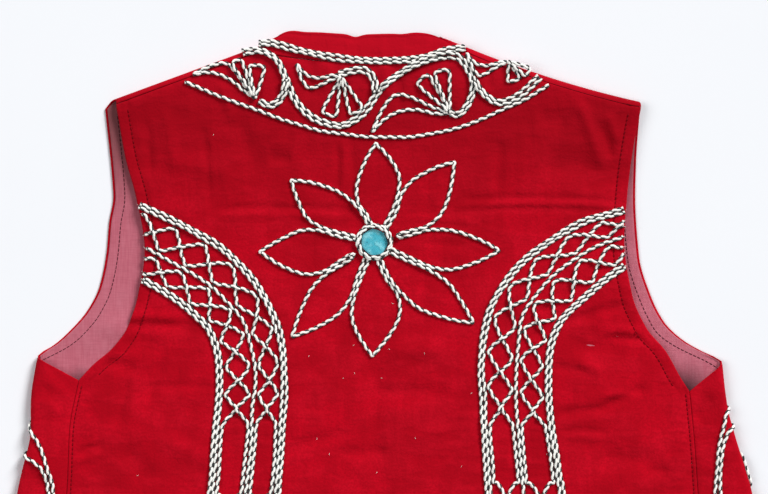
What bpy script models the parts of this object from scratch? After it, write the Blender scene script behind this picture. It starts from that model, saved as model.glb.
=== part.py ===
"""A velvet folk vest lying face down on a flat surface, built from the pieces that a maker cuts and sews.

Each cut piece starts as a thin square slab of grid faces, which is then laid out between the piece's own
outlines. The fronts turn round the side folds and over the shoulders, and the back panel lies on top of them.
+Z is up, +Y points to the collar, and the back of the vest faces up. All lengths are in metres.
"""

import math
from bisect import bisect_right
from collections import namedtuple

import bmesh
import bpy
from mathutils import Vector

# Cloth and seams
VELVET = 0.0016
LINING = 0.0010
COLLAR_WALL = 0.0024
SEAM_GAP = 0.0003
LINING_DEPTH = VELVET + SEAM_GAP
# How much of its outermost row or column the lining stays short by
LINING_HEM_TRIM = 0.13
LINING_START_TRIM = 0.08
LINING_END_TRIM = 0.50

# How the layers lie
FOLD_RADIUS = 0.0042
FOLD_TOP = 2 * FOLD_RADIUS
FOLD_ARC = math.pi * FOLD_RADIUS
REST_HEIGHT = 0.0066
FOLD_SWELL = 0.016
LEAN = 0.047
LEAN_START = -0.070
LEAN_EASE = 0.060

# The garment doesn't lie quite evenly, so some sizes are given for each side, as it is seen from behind
LEFT = -1
RIGHT = 1

# Heights on the garment, measured from the middle of its length
HEM_CENTRE = -0.270
HEM_SIDE = -0.258
ARMHOLE_DEEPEST = 0.080
SHOULDER_TIP = 0.215
NECK_SIDE = 0.2590
NECK_BACK = 0.2475
FRONT_NECK_DEPTH = 0.0805
UNDERARM = {LEFT: 0.0185, RIGHT: 0.0105}
ARMHOLE_FOLD = {LEFT: 0.0360, RIGHT: 0.0320}

# Widths, measured from the centre line
NECK_HALF_WIDTH = {LEFT: 0.0780, RIGHT: 0.0725}
FRONT_EDGE = 0.0010
SHOULDER_SLOPE = {LEFT: 0.362, RIGHT: 0.417}
SHOULDER_CURL = {LEFT: 0.0, RIGHT: 0.78}

# The collar, and the patch in the middle of the flower
COLLAR_HEIGHT = 0.0203
COLLAR_SIDE_ANGLE = {LEFT: math.radians(38), RIGHT: math.radians(30)}
COLLAR_FOLD_ANGLE = {LEFT: math.radians(27), RIGHT: math.radians(22)}
COLLAR_TURN = {LEFT: 3, RIGHT: 2}
COLLAR_DROP = 0.0010
PATCH_RADIUS = 0.0098
PATCH_HEIGHT = 0.118
PATCH_WALL = 0.0012

# Columns and rows of the grids
FLAT_COLUMNS = 9
FOLD_COLUMNS = 5
STRIP_COLUMNS = 4
SHOULDER_COLUMNS = 6
NECK_COLUMNS = 6
SKIRT_ROWS = 8
CORNER_ROWS = 2
ARMHOLE_ROWS = 3
FOLD_ROWS = 4
COLLAR_ROWS = 2
PATCH_SIDES = 24
CORNER_ROW_START = 0.050  # where the row that reaches the armhole fold starts, at the centre front
NECK_ROW_END = 0.120  # where the row from the foot of the front neckline ends, on the armhole
# The least width kept for the fold columns and for the strip columns, at and above the armhole fold
SQUEEZED_WIDTH = 0.0005
SPREAD_WIDTH = 0.0120
SPREAD_RISE = 0.020

Station = namedtuple("Station", "height half_width")
Puff = namedtuple("Puff", "across height half_width half_height rise")

SIDE_FOLD = {
    LEFT: (
        Station(HEM_SIDE, 0.2920),
        Station(-0.160, 0.2800),
        Station(-0.060, 0.2645),
        Station(-0.020, 0.2548),
        Station(0.004, 0.2530),
        Station(ARMHOLE_FOLD[LEFT], 0.2470),
    ),
    RIGHT: (
        Station(HEM_SIDE, 0.2920),
        Station(-0.160, 0.2800),
        Station(-0.060, 0.2645),
        Station(-0.020, 0.2535),
        Station(0.000, 0.2492),
        Station(ARMHOLE_FOLD[RIGHT], 0.2472),
    ),
}
SIDE_SEAM = {
    LEFT: (
        Station(HEM_SIDE, 0.2480),
        Station(-0.060, 0.2290),
        Station(-0.018, 0.2262),
        Station(UNDERARM[LEFT], 0.2178),
    ),
    RIGHT: (
        Station(HEM_SIDE, 0.2480),
        Station(-0.060, 0.2258),
        Station(-0.018, 0.2238),
        Station(UNDERARM[RIGHT], 0.2222),
    ),
}
BACK_ARMHOLE = {
    LEFT: (
        Station(UNDERARM[LEFT], 0.2178),
        Station(0.030, 0.2065),
        Station(0.041, 0.1930),
        Station(0.056, 0.1812),
        Station(ARMHOLE_DEEPEST, 0.1722),
        Station(0.115, 0.1658),
        Station(0.150, 0.1702),
        Station(0.180, 0.1768),
        Station(SHOULDER_TIP, 0.1812),
    ),
    RIGHT: (
        Station(UNDERARM[RIGHT], 0.2222),
        Station(0.020, 0.2165),
        Station(0.039, 0.2067),
        Station(0.056, 0.1934),
        Station(ARMHOLE_DEEPEST, 0.1842),
        Station(0.115, 0.1802),
        Station(0.150, 0.1838),
        Station(0.190, 0.1908),
        Station(SHOULDER_TIP, 0.1968),
    ),
}
# On the layer underneath, the widths are measured on the cloth and so run on round the side fold.
FRONT_ARMHOLE = {
    LEFT: (
        Station(ARMHOLE_FOLD[LEFT], 0.2495),
        Station(0.043, 0.2362),
        Station(0.052, 0.2252),
        Station(0.069, 0.2094),
        Station(0.086, 0.2002),
        Station(0.112, 0.1938),
        Station(0.132, 0.1912),
        Station(0.152, 0.1872),
        Station(SHOULDER_TIP, 0.1902),
    ),
    RIGHT: (
        Station(ARMHOLE_FOLD[RIGHT], 0.2497),
        Station(0.039, 0.2335),
        Station(0.048, 0.2187),
        Station(0.060, 0.2070),
        Station(0.078, 0.1985),
        Station(0.108, 0.1910),
        Station(0.140, 0.1900),
        Station(0.175, 0.1920),
        Station(SHOULDER_TIP, 0.1968),
    ),
}

# Soft swellings of the upper layer
PUFFS = (
    Puff(0.000, -0.030, 0.070, 0.090, 0.0012),
    Puff(0.010, 0.150, 0.080, 0.040, 0.0009),
    Puff(-0.172, -0.050, 0.040, 0.060, 0.0014),
    Puff(0.176, -0.030, 0.038, 0.060, 0.0016),
    Puff(-0.130, 0.180, 0.036, 0.032, 0.0012),
    Puff(0.134, 0.172, 0.038, 0.034, 0.0013),
    Puff(-0.080, -0.190, 0.055, 0.050, 0.0011),
    Puff(0.105, -0.205, 0.055, 0.045, 0.0013),
    Puff(0.212, -0.180, 0.030, 0.050, 0.0010),
    Puff(-0.205, -0.170, 0.032, 0.050, 0.0012),
)


def mix(a, b, share):
    return a + (b - a) * share


def clamp(x, low=0.0, high=1.0):
    return min(max(x, low), high)


def curve_through(rows):
    """A smooth function through (at, value) rows, which never overshoots them."""
    at = [row[0] for row in rows]
    values = [row[1] for row in rows]
    steps = [(values[i + 1] - values[i]) / (at[i + 1] - at[i]) for i in range(len(rows) - 1)]
    slopes = [steps[0]]
    for before, after in zip(steps, steps[1:]):
        same_way = before * after > 0
        slopes.append(2 * before * after / (before + after) if same_way else 0.0)
    slopes.append(steps[-1])

    def value(x):
        x = clamp(x, at[0], at[-1])
        i = min(bisect_right(at, x), len(at) - 1) - 1
        span = at[i + 1] - at[i]
        t = (x - at[i]) / span
        ease = t * t * (3 - 2 * t)
        bend = t * (1 - t) * ((1 - t) * slopes[i] - t * slopes[i + 1]) * span
        return mix(values[i], values[i + 1], ease) + bend

    return value


def both_sides(tables):
    """The smooth curve through the stations of each side."""
    return {side: curve_through(rows) for side, rows in tables.items()}


fold_half_width = both_sides(SIDE_FOLD)
seam_half_width = both_sides(SIDE_SEAM)
back_armhole = both_sides(BACK_ARMHOLE)
front_armhole = both_sides(FRONT_ARMHOLE)


def swell(past, half_width):
    """A soft bump of height 1 where past is 0."""
    return math.exp(-((past / half_width) ** 2))


def side_of(across):
    return LEFT if across < 0 else RIGHT


def top_edge(across):
    """The height where the upper layer ends: the shoulder seams, and the neck seam between them."""
    side = side_of(across)
    corner = NECK_SIDE - FOLD_RADIUS
    past_neck = abs(across) - NECK_HALF_WIDTH[side]
    if past_neck < 0:
        return mix(NECK_BACK, corner, (across / NECK_HALF_WIDTH[side]) ** 2)
    return corner - SHOULDER_SLOPE[side] * past_neck + SHOULDER_CURL[side] * past_neck**2


def lean(height):
    """How far the garment, as it lies, leans to its left at this height."""
    past = max(0.0, height - LEAN_START)
    eased = past * past / (2 * LEAN_EASE) if past < LEAN_EASE else past - LEAN_EASE / 2
    return -LEAN * eased


def upper_height(across, height):
    """Height of the upper layer's outer face above the surface that the vest lies on."""
    side_here = side_of(across)
    from_side = fold_half_width[side_here](height) - FOLD_RADIUS - abs(across)
    armhole_fade = max(0.0, height - ARMHOLE_FOLD[side_here]) / FOLD_SWELL
    side = swell(max(0.0, from_side), FOLD_SWELL) * math.exp(-armhole_fade)
    top = swell(max(0.0, top_edge(across) - height), FOLD_SWELL)
    folds = 1 - (1 - side) * (1 - top)
    puffs = sum(
        p.rise * swell(across - p.across, p.half_width) * swell(height - p.height, p.half_height)
        for p in PUFFS
    )
    return REST_HEIGHT + (FOLD_TOP - REST_HEIGHT) * folds + puffs * (1 - folds)


def on_upper_layer(across, height, depth):
    z = upper_height(across, height) - depth
    return Vector((across + lean(height), height, z))


def round_fold(start, past, depth):
    """Where a point past the start of a fold lies on its arc, and how high."""
    angle = min(past / FOLD_RADIUS, math.pi)
    radius = FOLD_RADIUS - depth
    return start + radius * math.sin(angle), FOLD_RADIUS - radius * math.cos(angle)


def on_front(side, girth, height, depth):
    """A point of a front panel. The girth is measured on the cloth from the centre front."""
    fold_start = fold_half_width[side](height) - FOLD_RADIUS
    past_side = girth - fold_start
    top = top_edge(side * girth)
    past_top = height - top if girth < fold_start else -1.0
    if past_side > FOLD_ARC:
        across = fold_start - (past_side - FOLD_ARC)
        return on_upper_layer(side * across, height, depth)
    if past_side > 0:
        across, z = round_fold(fold_start, past_side, depth)
        return Vector((side * across + lean(height), height, z))
    if past_top > 0:
        height, z = round_fold(top, past_top, depth)
        return Vector((side * girth + lean(height), height, z))
    return Vector((side * girth + lean(height), height, depth))


def front_edge(side, height):
    """Half the width of the front opening, or of the front neckline above it."""
    from_top = clamp((NECK_SIDE - FOLD_RADIUS - height) / FRONT_NECK_DEPTH)
    return max(FRONT_EDGE, NECK_HALF_WIDTH[side] * math.sqrt(1 - from_top**2))


def tip_height(armhole, side):
    """Height where an armhole's edge reaches the shoulder."""
    return top_edge(side * armhole[side](SHOULDER_TIP))


def front_side_edge(side, height):
    """Girth where a front panel ends: the side seam, the armhole, and the turn over the shoulder."""
    if height < ARMHOLE_FOLD[side]:
        low = min(height, UNDERARM[side])
        fold_start = fold_half_width[side](low) - FOLD_RADIUS
        seam = 2 * fold_start + FOLD_ARC - seam_half_width[side](low) - SEAM_GAP / 2
        climb = clamp((height - UNDERARM[side]) / (ARMHOLE_FOLD[side] - UNDERARM[side]))
        return mix(seam, front_armhole[side](ARMHOLE_FOLD[side]), climb)
    over = clamp((height - tip_height(front_armhole, side)) / FOLD_ARC)
    return mix(front_armhole[side](height), back_armhole[side](height), over)


def front_rows(side):
    """(height at the inner edge, height at the outer edge) of every row of a front panel."""
    neck_top = NECK_SIDE - FOLD_RADIUS
    tip = tip_height(front_armhole, side)
    seam = tip_height(back_armhole, side) + FOLD_ARC
    stops = (
        ((HEM_CENTRE, HEM_SIDE), 0),
        ((UNDERARM[side], UNDERARM[side]), SKIRT_ROWS),
        ((CORNER_ROW_START, ARMHOLE_FOLD[side]), CORNER_ROWS),
        ((neck_top - FRONT_NECK_DEPTH, NECK_ROW_END), ARMHOLE_ROWS),
        ((neck_top, tip), NECK_COLUMNS),
        ((neck_top + FOLD_ARC, seam), FOLD_ROWS),
    )
    rows = [stops[0][0]]
    for (low, _), (high, count) in zip(stops, stops[1:]):
        for k in range(1, count + 1):
            share = k / count
            curved = high[0] == neck_top
            inner_share = 1 - math.cos(share * math.pi / 2) if curved else share
            rows.append((mix(low[0], high[0], inner_share), mix(low[1], high[1], share)))
    return rows


def front_girths(side, inner, outer):
    """The girth of each column along one row of a front panel."""
    start = front_edge(side, inner)
    end = front_side_edge(side, outer)
    spare = mix(SQUEEZED_WIDTH, SPREAD_WIDTH, clamp((outer - ARMHOLE_FOLD[side]) / SPREAD_RISE))
    fold_start = fold_half_width[side](outer) - FOLD_RADIUS
    first = min(fold_start, end - 2 * spare)
    second = min(fold_start + FOLD_ARC, end - spare)
    spans = ((start, first, FLAT_COLUMNS), (first, second, FOLD_COLUMNS), (second, end, STRIP_COLUMNS))
    girths = [start]
    for low, high, count in spans:
        girths += [mix(low, high, k / count) for k in range(1, count + 1)]
    return girths


def back_rows(side):
    """Height of every row of the back panel at one of its side edges."""
    tip = tip_height(back_armhole, side) - SEAM_GAP
    spans = (
        (HEM_SIDE, UNDERARM[side], SKIRT_ROWS),
        (UNDERARM[side], ARMHOLE_DEEPEST, ARMHOLE_ROWS),
        (ARMHOLE_DEEPEST, tip, NECK_COLUMNS),
    )
    rows = [HEM_SIDE]
    for low, high, count in spans:
        rows += [mix(low, high, k / count) for k in range(1, count + 1)]
    return rows


def back_side_edge(side, height):
    """Half the width of the back panel at one of its side edges."""
    if height <= UNDERARM[side]:
        return seam_half_width[side](height) - SEAM_GAP / 2
    return back_armhole[side](height)


def back_shares():
    """How far across the back each column is, with a column at each neck point of the top row."""
    left = -back_side_edge(LEFT, back_rows(LEFT)[-1])
    right = back_side_edge(RIGHT, back_rows(RIGHT)[-1])
    neck = [(side * NECK_HALF_WIDTH[side] - left) / (right - left) for side in (LEFT, RIGHT)]
    marks = [0.0, *neck, 1.0]
    counts = (SHOULDER_COLUMNS, NECK_COLUMNS, SHOULDER_COLUMNS)
    shares = [0.0]
    for low, high, count in zip(marks, marks[1:], counts):
        shares += [mix(low, high, k / count) for k in range(1, count + 1)]
    return shares


def new_material(name, colour, roughness, sheen=0.0):
    material = bpy.data.materials.new(name)
    material.use_nodes = True
    shader = material.node_tree.nodes["Principled BSDF"]
    shader.inputs["Base Color"].default_value = (*colour, 1.0)
    shader.inputs["Roughness"].default_value = roughness
    shader.inputs["Metallic"].default_value = 0.0
    shader.inputs["Sheen Weight"].default_value = sheen
    return material


def new_object(name, mesh_builder, material, collection):
    if mesh_builder.calc_volume(signed=True) < 0:
        bmesh.ops.reverse_faces(mesh_builder, faces=mesh_builder.faces)
    mesh = bpy.data.meshes.new(name)
    mesh_builder.to_mesh(mesh)
    mesh_builder.free()
    mesh.materials.append(material)
    mesh.shade_smooth()
    piece = bpy.data.objects.new(name, mesh)
    collection.objects.link(piece)
    return piece


def new_sheet(name, columns, rows, place, thickness, material, collection):
    """A wall whose vertex in column i, row j, at either face, goes to place(i, j, depth below the face)."""
    slab = bmesh.new()
    bmesh.ops.create_grid(slab, x_segments=columns, y_segments=rows, size=0.5)
    bmesh.ops.triangulate(slab, faces=slab.faces[:], quad_method="FIXED")
    copied = bmesh.ops.extrude_face_region(slab, geom=slab.faces[:])["geom"]
    inner = [item for item in copied if isinstance(item, bmesh.types.BMVert)]
    bmesh.ops.translate(slab, verts=inner, vec=(0, 0, thickness))
    for vertex in slab.verts:
        i = round((vertex.co.x + 0.5) * columns)
        j = round((vertex.co.y + 0.5) * rows)
        vertex.co = place(i, j, vertex.co.z)
    return new_object(name, slab, material, collection)


def as_lining(place, last):
    """The lining of a front: parallel to its inner face, and short of its hem, front edge and armhole."""

    def place_lining(i, j, depth):
        depth += LINING_DEPTH
        point = place(i, j, depth)
        if j == 0:
            return point.lerp(place(i, 1, depth), LINING_HEM_TRIM)
        if i == 0:
            return point.lerp(place(1, j, depth), LINING_START_TRIM)
        if i == last and j > SKIRT_ROWS + CORNER_ROWS:
            return point.lerp(place(last - 1, j, depth), LINING_END_TRIM)
        return point

    return place_lining


def build_front(hand, side, velvet, cotton, collection):
    rows = front_rows(side)
    girths = [front_girths(side, inner, outer) for inner, outer in rows]
    last = len(girths[0]) - 1

    def place(i, j, depth):
        inner, outer = rows[j]
        line = girths[j]
        share = (line[i] - line[0]) / (line[-1] - line[0])
        return on_front(side, line[i], mix(inner, outer, share), depth)

    lining = as_lining(place, last)
    new_sheet(f"front_{hand}", last, len(rows) - 1, place, VELVET, velvet, collection)
    new_sheet(f"front_lining_{hand}", last, len(rows) - 1, lining, LINING, cotton, collection)


def build_back(velvet, collection):
    shares = back_shares()
    left_rows = back_rows(LEFT)
    right_rows = back_rows(RIGHT)
    left_tip = left_rows[-1]
    right_tip = right_rows[-1]
    left_end = -back_side_edge(LEFT, left_tip)
    right_end = back_side_edge(RIGHT, right_tip)
    roof = [top_edge(mix(left_end, right_end, s)) - SEAM_GAP - mix(left_tip, right_tip, s) for s in shares]
    last = len(shares) - 1

    def place(i, j, depth):
        share = shares[i]
        side_height = mix(left_rows[j], right_rows[j], share)
        climb = (side_height - HEM_SIDE) / (mix(left_tip, right_tip, share) - HEM_SIDE)
        hem_drop = (HEM_CENTRE - HEM_SIDE) * (1 - (2 * share - 1) ** 2)
        height = side_height + climb**2 * roof[i] + (1 - climb) ** 2 * hem_drop
        across = mix(-back_side_edge(LEFT, left_rows[j]), back_side_edge(RIGHT, right_rows[j]), share)
        return on_upper_layer(across, height, depth)

    return new_sheet("back", last, len(left_rows) - 1, place, VELVET, velvet, collection)


def collar_facing(side, turn):
    """The direction in which the collar stands at the neck point of a side, as it turns round the fold."""
    rise = mix(COLLAR_SIDE_ANGLE[side], COLLAR_FOLD_ANGLE[side], math.sin(turn))
    return rise if side == LEFT else math.pi - rise


def collar_side(side):
    """The collar's stations on one side, from the front edge up to the neck point and round the fold."""
    neck_top = NECK_SIDE - FOLD_RADIUS
    stations = []
    for k in range(NECK_COLUMNS + 1):
        share = k / NECK_COLUMNS
        along = share * math.pi / 2
        height = neck_top - FRONT_NECK_DEPTH * math.cos(along)
        facing = math.pi / 2 - along + COLLAR_SIDE_ANGLE[side] * share**3
        facing = facing if side == LEFT else math.pi - facing
        stations.append((side * front_edge(side, height), height, 0.0, facing))
    for k in range(1, FOLD_ROWS + 1):
        turn = math.pi * k / FOLD_ROWS
        stations.append((side * NECK_HALF_WIDTH[side], neck_top, turn, collar_facing(side, turn)))
    return stations


def collar_stations():
    """Stations along the neck seam from the left front edge, up round the back, to the right front edge.

    Each is (across, height, turn round the fold, direction in which the collar stands)."""
    back = []
    for k in range(1, NECK_COLUMNS):
        across = mix(-NECK_HALF_WIDTH[LEFT], NECK_HALF_WIDTH[RIGHT], k / NECK_COLUMNS)
        side = side_of(across)
        share = abs(across) / NECK_HALF_WIDTH[side]
        upright = math.pi / 2
        facing = mix(upright, collar_facing(side, math.pi), share ** COLLAR_TURN[side])
        back.append((across, top_edge(across), math.pi, facing))
    return collar_side(LEFT) + back + collar_side(RIGHT)[::-1]


def build_collar(material, collection):
    stations = collar_stations()

    def place(i, j, depth):
        across, height, turn, facing = stations[i]
        up = mix(SEAM_GAP, COLLAR_HEIGHT, j / COLLAR_ROWS)
        y, z = round_fold(height, FOLD_RADIUS * turn, depth)
        if turn == math.pi:
            z -= COLLAR_DROP * j / COLLAR_ROWS
        return across + up * math.cos(facing) + lean(y), y + up * math.sin(facing), z

    return new_sheet("collar", len(stations) - 1, COLLAR_ROWS, place, COLLAR_WALL, material, collection)


def build_patch(material, collection):
    """The round patch in the middle of the flower, lying on the back panel."""
    disc = bmesh.new()
    bmesh.ops.create_cone(
        disc,
        cap_ends=True,
        cap_tris=True,
        segments=PATCH_SIDES,
        radius1=PATCH_RADIUS,
        radius2=PATCH_RADIUS,
        depth=PATCH_WALL,
    )
    for vertex in disc.verts:
        lift = SEAM_GAP + PATCH_WALL / 2 + vertex.co.z
        vertex.co = on_upper_layer(vertex.co.x, vertex.co.y + PATCH_HEIGHT, -lift)
    return new_object("flower_patch", disc, material, collection)


def clear_scene():
    for thing in list(bpy.data.objects):
        bpy.data.objects.remove(thing)


def build_vest():
    vest = bpy.data.collections.new("embroidered_vest")
    bpy.context.scene.collection.children.link(vest)
    velvet = new_material("red_velvet", (0.456, 0.004, 0.013), 0.85, sheen=0.6)
    cotton = new_material("mauve_cotton", (0.520, 0.150, 0.200), 0.90)
    turquoise = new_material("turquoise_cloth", (0.110, 0.510, 0.610), 0.70)

    build_back(velvet, vest)
    build_front("left", LEFT, velvet, cotton, vest)
    build_front("right", RIGHT, velvet, cotton, vest)
    build_collar(velvet, vest)
    build_patch(turquoise, vest)


clear_scene()
build_vest()
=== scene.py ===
"""The looks of a velvet folk vest, lying face down: cloth shells, couched cords, stitches, patch and light.

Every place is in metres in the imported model's frame. The vest's upper side is treated as one cloth that can
be unrolled: across is measured from the centre line, runs on over the side folds and down again underneath,
and height runs from the hem to the shoulders and on over them.
"""

import math
from bisect import bisect_right
from collections import namedtuple

import bmesh
import bpy
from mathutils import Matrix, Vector, kdtree, noise


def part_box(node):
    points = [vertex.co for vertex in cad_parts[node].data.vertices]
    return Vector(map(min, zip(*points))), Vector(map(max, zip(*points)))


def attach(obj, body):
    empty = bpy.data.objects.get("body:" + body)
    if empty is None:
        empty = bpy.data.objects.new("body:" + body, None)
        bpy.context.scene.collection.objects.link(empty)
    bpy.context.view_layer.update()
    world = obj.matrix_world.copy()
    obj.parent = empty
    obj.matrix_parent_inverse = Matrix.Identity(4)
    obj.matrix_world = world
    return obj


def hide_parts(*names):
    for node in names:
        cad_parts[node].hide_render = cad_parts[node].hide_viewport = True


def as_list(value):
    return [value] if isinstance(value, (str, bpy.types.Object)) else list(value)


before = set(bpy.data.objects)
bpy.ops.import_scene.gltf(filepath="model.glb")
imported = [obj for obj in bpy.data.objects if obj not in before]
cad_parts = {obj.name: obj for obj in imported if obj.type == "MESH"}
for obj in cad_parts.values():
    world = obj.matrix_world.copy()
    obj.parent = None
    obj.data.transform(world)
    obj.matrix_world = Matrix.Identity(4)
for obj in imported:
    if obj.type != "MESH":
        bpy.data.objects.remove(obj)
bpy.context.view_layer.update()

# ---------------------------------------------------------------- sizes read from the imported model
BACK_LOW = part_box("back")[0]
FRONT_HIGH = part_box("front_right")[1]
PATCH_LOW, PATCH_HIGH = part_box("flower_patch")

HEM_CENTRE = BACK_LOW.y
HEM_SIDE = HEM_CENTRE + 0.012
HEM_HALF_WIDTH = FRONT_HIGH.x
NECK_SIDE = FRONT_HIGH.y
FOLD_TOP = FRONT_HIGH.z
FOLD_RADIUS = FOLD_TOP / 2
FOLD_ARC = math.pi * FOLD_RADIUS
PATCH_CENTRE = (PATCH_LOW + PATCH_HIGH) / 2
PATCH_RADIUS = (PATCH_HIGH.x - PATCH_LOW.x) / 2

# ---------------------------------------------------------------- cloth
VELVET = 0.0014
LINING = 0.0006
COLLAR_WALL = 0.0022
SEAM_GAP = 0.0002
LINING_DEPTH = VELVET + SEAM_GAP
REST_HEIGHT = 0.0066
FOLD_SWELL = 0.016
LEAN = 0.047
LEAN_START = -0.070
LEAN_EASE = 0.060
ARMHOLE_DEEPEST = 0.080
NECK_BACK = 0.2475
FRONT_NECK_DEPTH = 0.0805
FRONT_EDGE = 0.0010
SHOULDER_TIP = 0.215
COLLAR_HEIGHT = 0.0203
COLLAR_DROP = 0.0010

# The garment doesn't lie quite evenly, so some sizes are given for each side, as it is seen from behind
LEFT = -1
RIGHT = 1
HANDS = (("left", LEFT), ("right", RIGHT))
UNDERARM = {LEFT: 0.0185, RIGHT: 0.0105}
ARMHOLE_FOLD = {LEFT: 0.0360, RIGHT: 0.0320}
NECK_HALF_WIDTH = {LEFT: 0.0780, RIGHT: 0.0725}
SHOULDER_SLOPE = {LEFT: 0.362, RIGHT: 0.417}
SHOULDER_CURL = {LEFT: 0.0, RIGHT: 0.78}
COLLAR_SIDE_ANGLE = {LEFT: math.radians(38), RIGHT: math.radians(30)}
COLLAR_FOLD_ANGLE = {LEFT: math.radians(27), RIGHT: math.radians(22)}
COLLAR_TURN = {LEFT: 3, RIGHT: 2}

Station = namedtuple("Station", "height half_width")
Puff = namedtuple("Puff", "across height half_width half_height rise")
Crease = namedtuple("Crease", "x0 y0 x1 y1 half_width rise")

SIDE_FOLD = {
    LEFT: (
        Station(HEM_SIDE, HEM_HALF_WIDTH),
        Station(-0.160, 0.2800),
        Station(-0.060, 0.2645),
        Station(-0.020, 0.2548),
        Station(0.004, 0.2530),
        Station(ARMHOLE_FOLD[LEFT], 0.2470),
    ),
    RIGHT: (
        Station(HEM_SIDE, HEM_HALF_WIDTH),
        Station(-0.160, 0.2800),
        Station(-0.060, 0.2645),
        Station(-0.020, 0.2535),
        Station(0.000, 0.2492),
        Station(ARMHOLE_FOLD[RIGHT], 0.2472),
    ),
}
SIDE_SEAM = {
    LEFT: (
        Station(HEM_SIDE, 0.2480),
        Station(-0.060, 0.2290),
        Station(-0.018, 0.2262),
        Station(UNDERARM[LEFT], 0.2178),
    ),
    RIGHT: (
        Station(HEM_SIDE, 0.2480),
        Station(-0.060, 0.2258),
        Station(-0.018, 0.2238),
        Station(UNDERARM[RIGHT], 0.2222),
    ),
}
BACK_ARMHOLE = {
    LEFT: (
        Station(UNDERARM[LEFT], 0.2178),
        Station(0.030, 0.2065),
        Station(0.041, 0.1930),
        Station(0.056, 0.1812),
        Station(ARMHOLE_DEEPEST, 0.1722),
        Station(0.115, 0.1658),
        Station(0.150, 0.1702),
        Station(0.180, 0.1768),
        Station(SHOULDER_TIP, 0.1812),
    ),
    RIGHT: (
        Station(UNDERARM[RIGHT], 0.2222),
        Station(0.020, 0.2165),
        Station(0.039, 0.2067),
        Station(0.056, 0.1934),
        Station(ARMHOLE_DEEPEST, 0.1842),
        Station(0.115, 0.1802),
        Station(0.150, 0.1838),
        Station(0.190, 0.1908),
        Station(SHOULDER_TIP, 0.1968),
    ),
}
# On the layer underneath, the widths are measured on the cloth and so run on round the side fold.
FRONT_ARMHOLE = {
    LEFT: (
        Station(ARMHOLE_FOLD[LEFT], 0.2495),
        Station(0.043, 0.2362),
        Station(0.052, 0.2252),
        Station(0.069, 0.2094),
        Station(0.086, 0.2002),
        Station(0.112, 0.1938),
        Station(0.132, 0.1912),
        Station(0.152, 0.1872),
        Station(SHOULDER_TIP, 0.1902),
    ),
    RIGHT: (
        Station(ARMHOLE_FOLD[RIGHT], 0.2497),
        Station(0.039, 0.2335),
        Station(0.048, 0.2187),
        Station(0.060, 0.2070),
        Station(0.078, 0.1985),
        Station(0.108, 0.1910),
        Station(0.140, 0.1900),
        Station(0.175, 0.1920),
        Station(SHOULDER_TIP, 0.1968),
    ),
}

# Soft swellings of the upper layer
PUFFS = (
    Puff(0.000, -0.030, 0.070, 0.090, 0.0012),
    Puff(0.010, 0.150, 0.080, 0.040, 0.0009),
    Puff(-0.172, -0.050, 0.040, 0.060, 0.0014),
    Puff(0.176, -0.030, 0.038, 0.060, 0.0016),
    Puff(-0.130, 0.180, 0.036, 0.032, 0.0012),
    Puff(0.134, 0.172, 0.038, 0.034, 0.0013),
    Puff(-0.080, -0.190, 0.055, 0.050, 0.0011),
    Puff(0.105, -0.205, 0.055, 0.045, 0.0013),
    Puff(0.212, -0.180, 0.030, 0.050, 0.0010),
    Puff(-0.205, -0.170, 0.032, 0.050, 0.0012),
)

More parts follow.
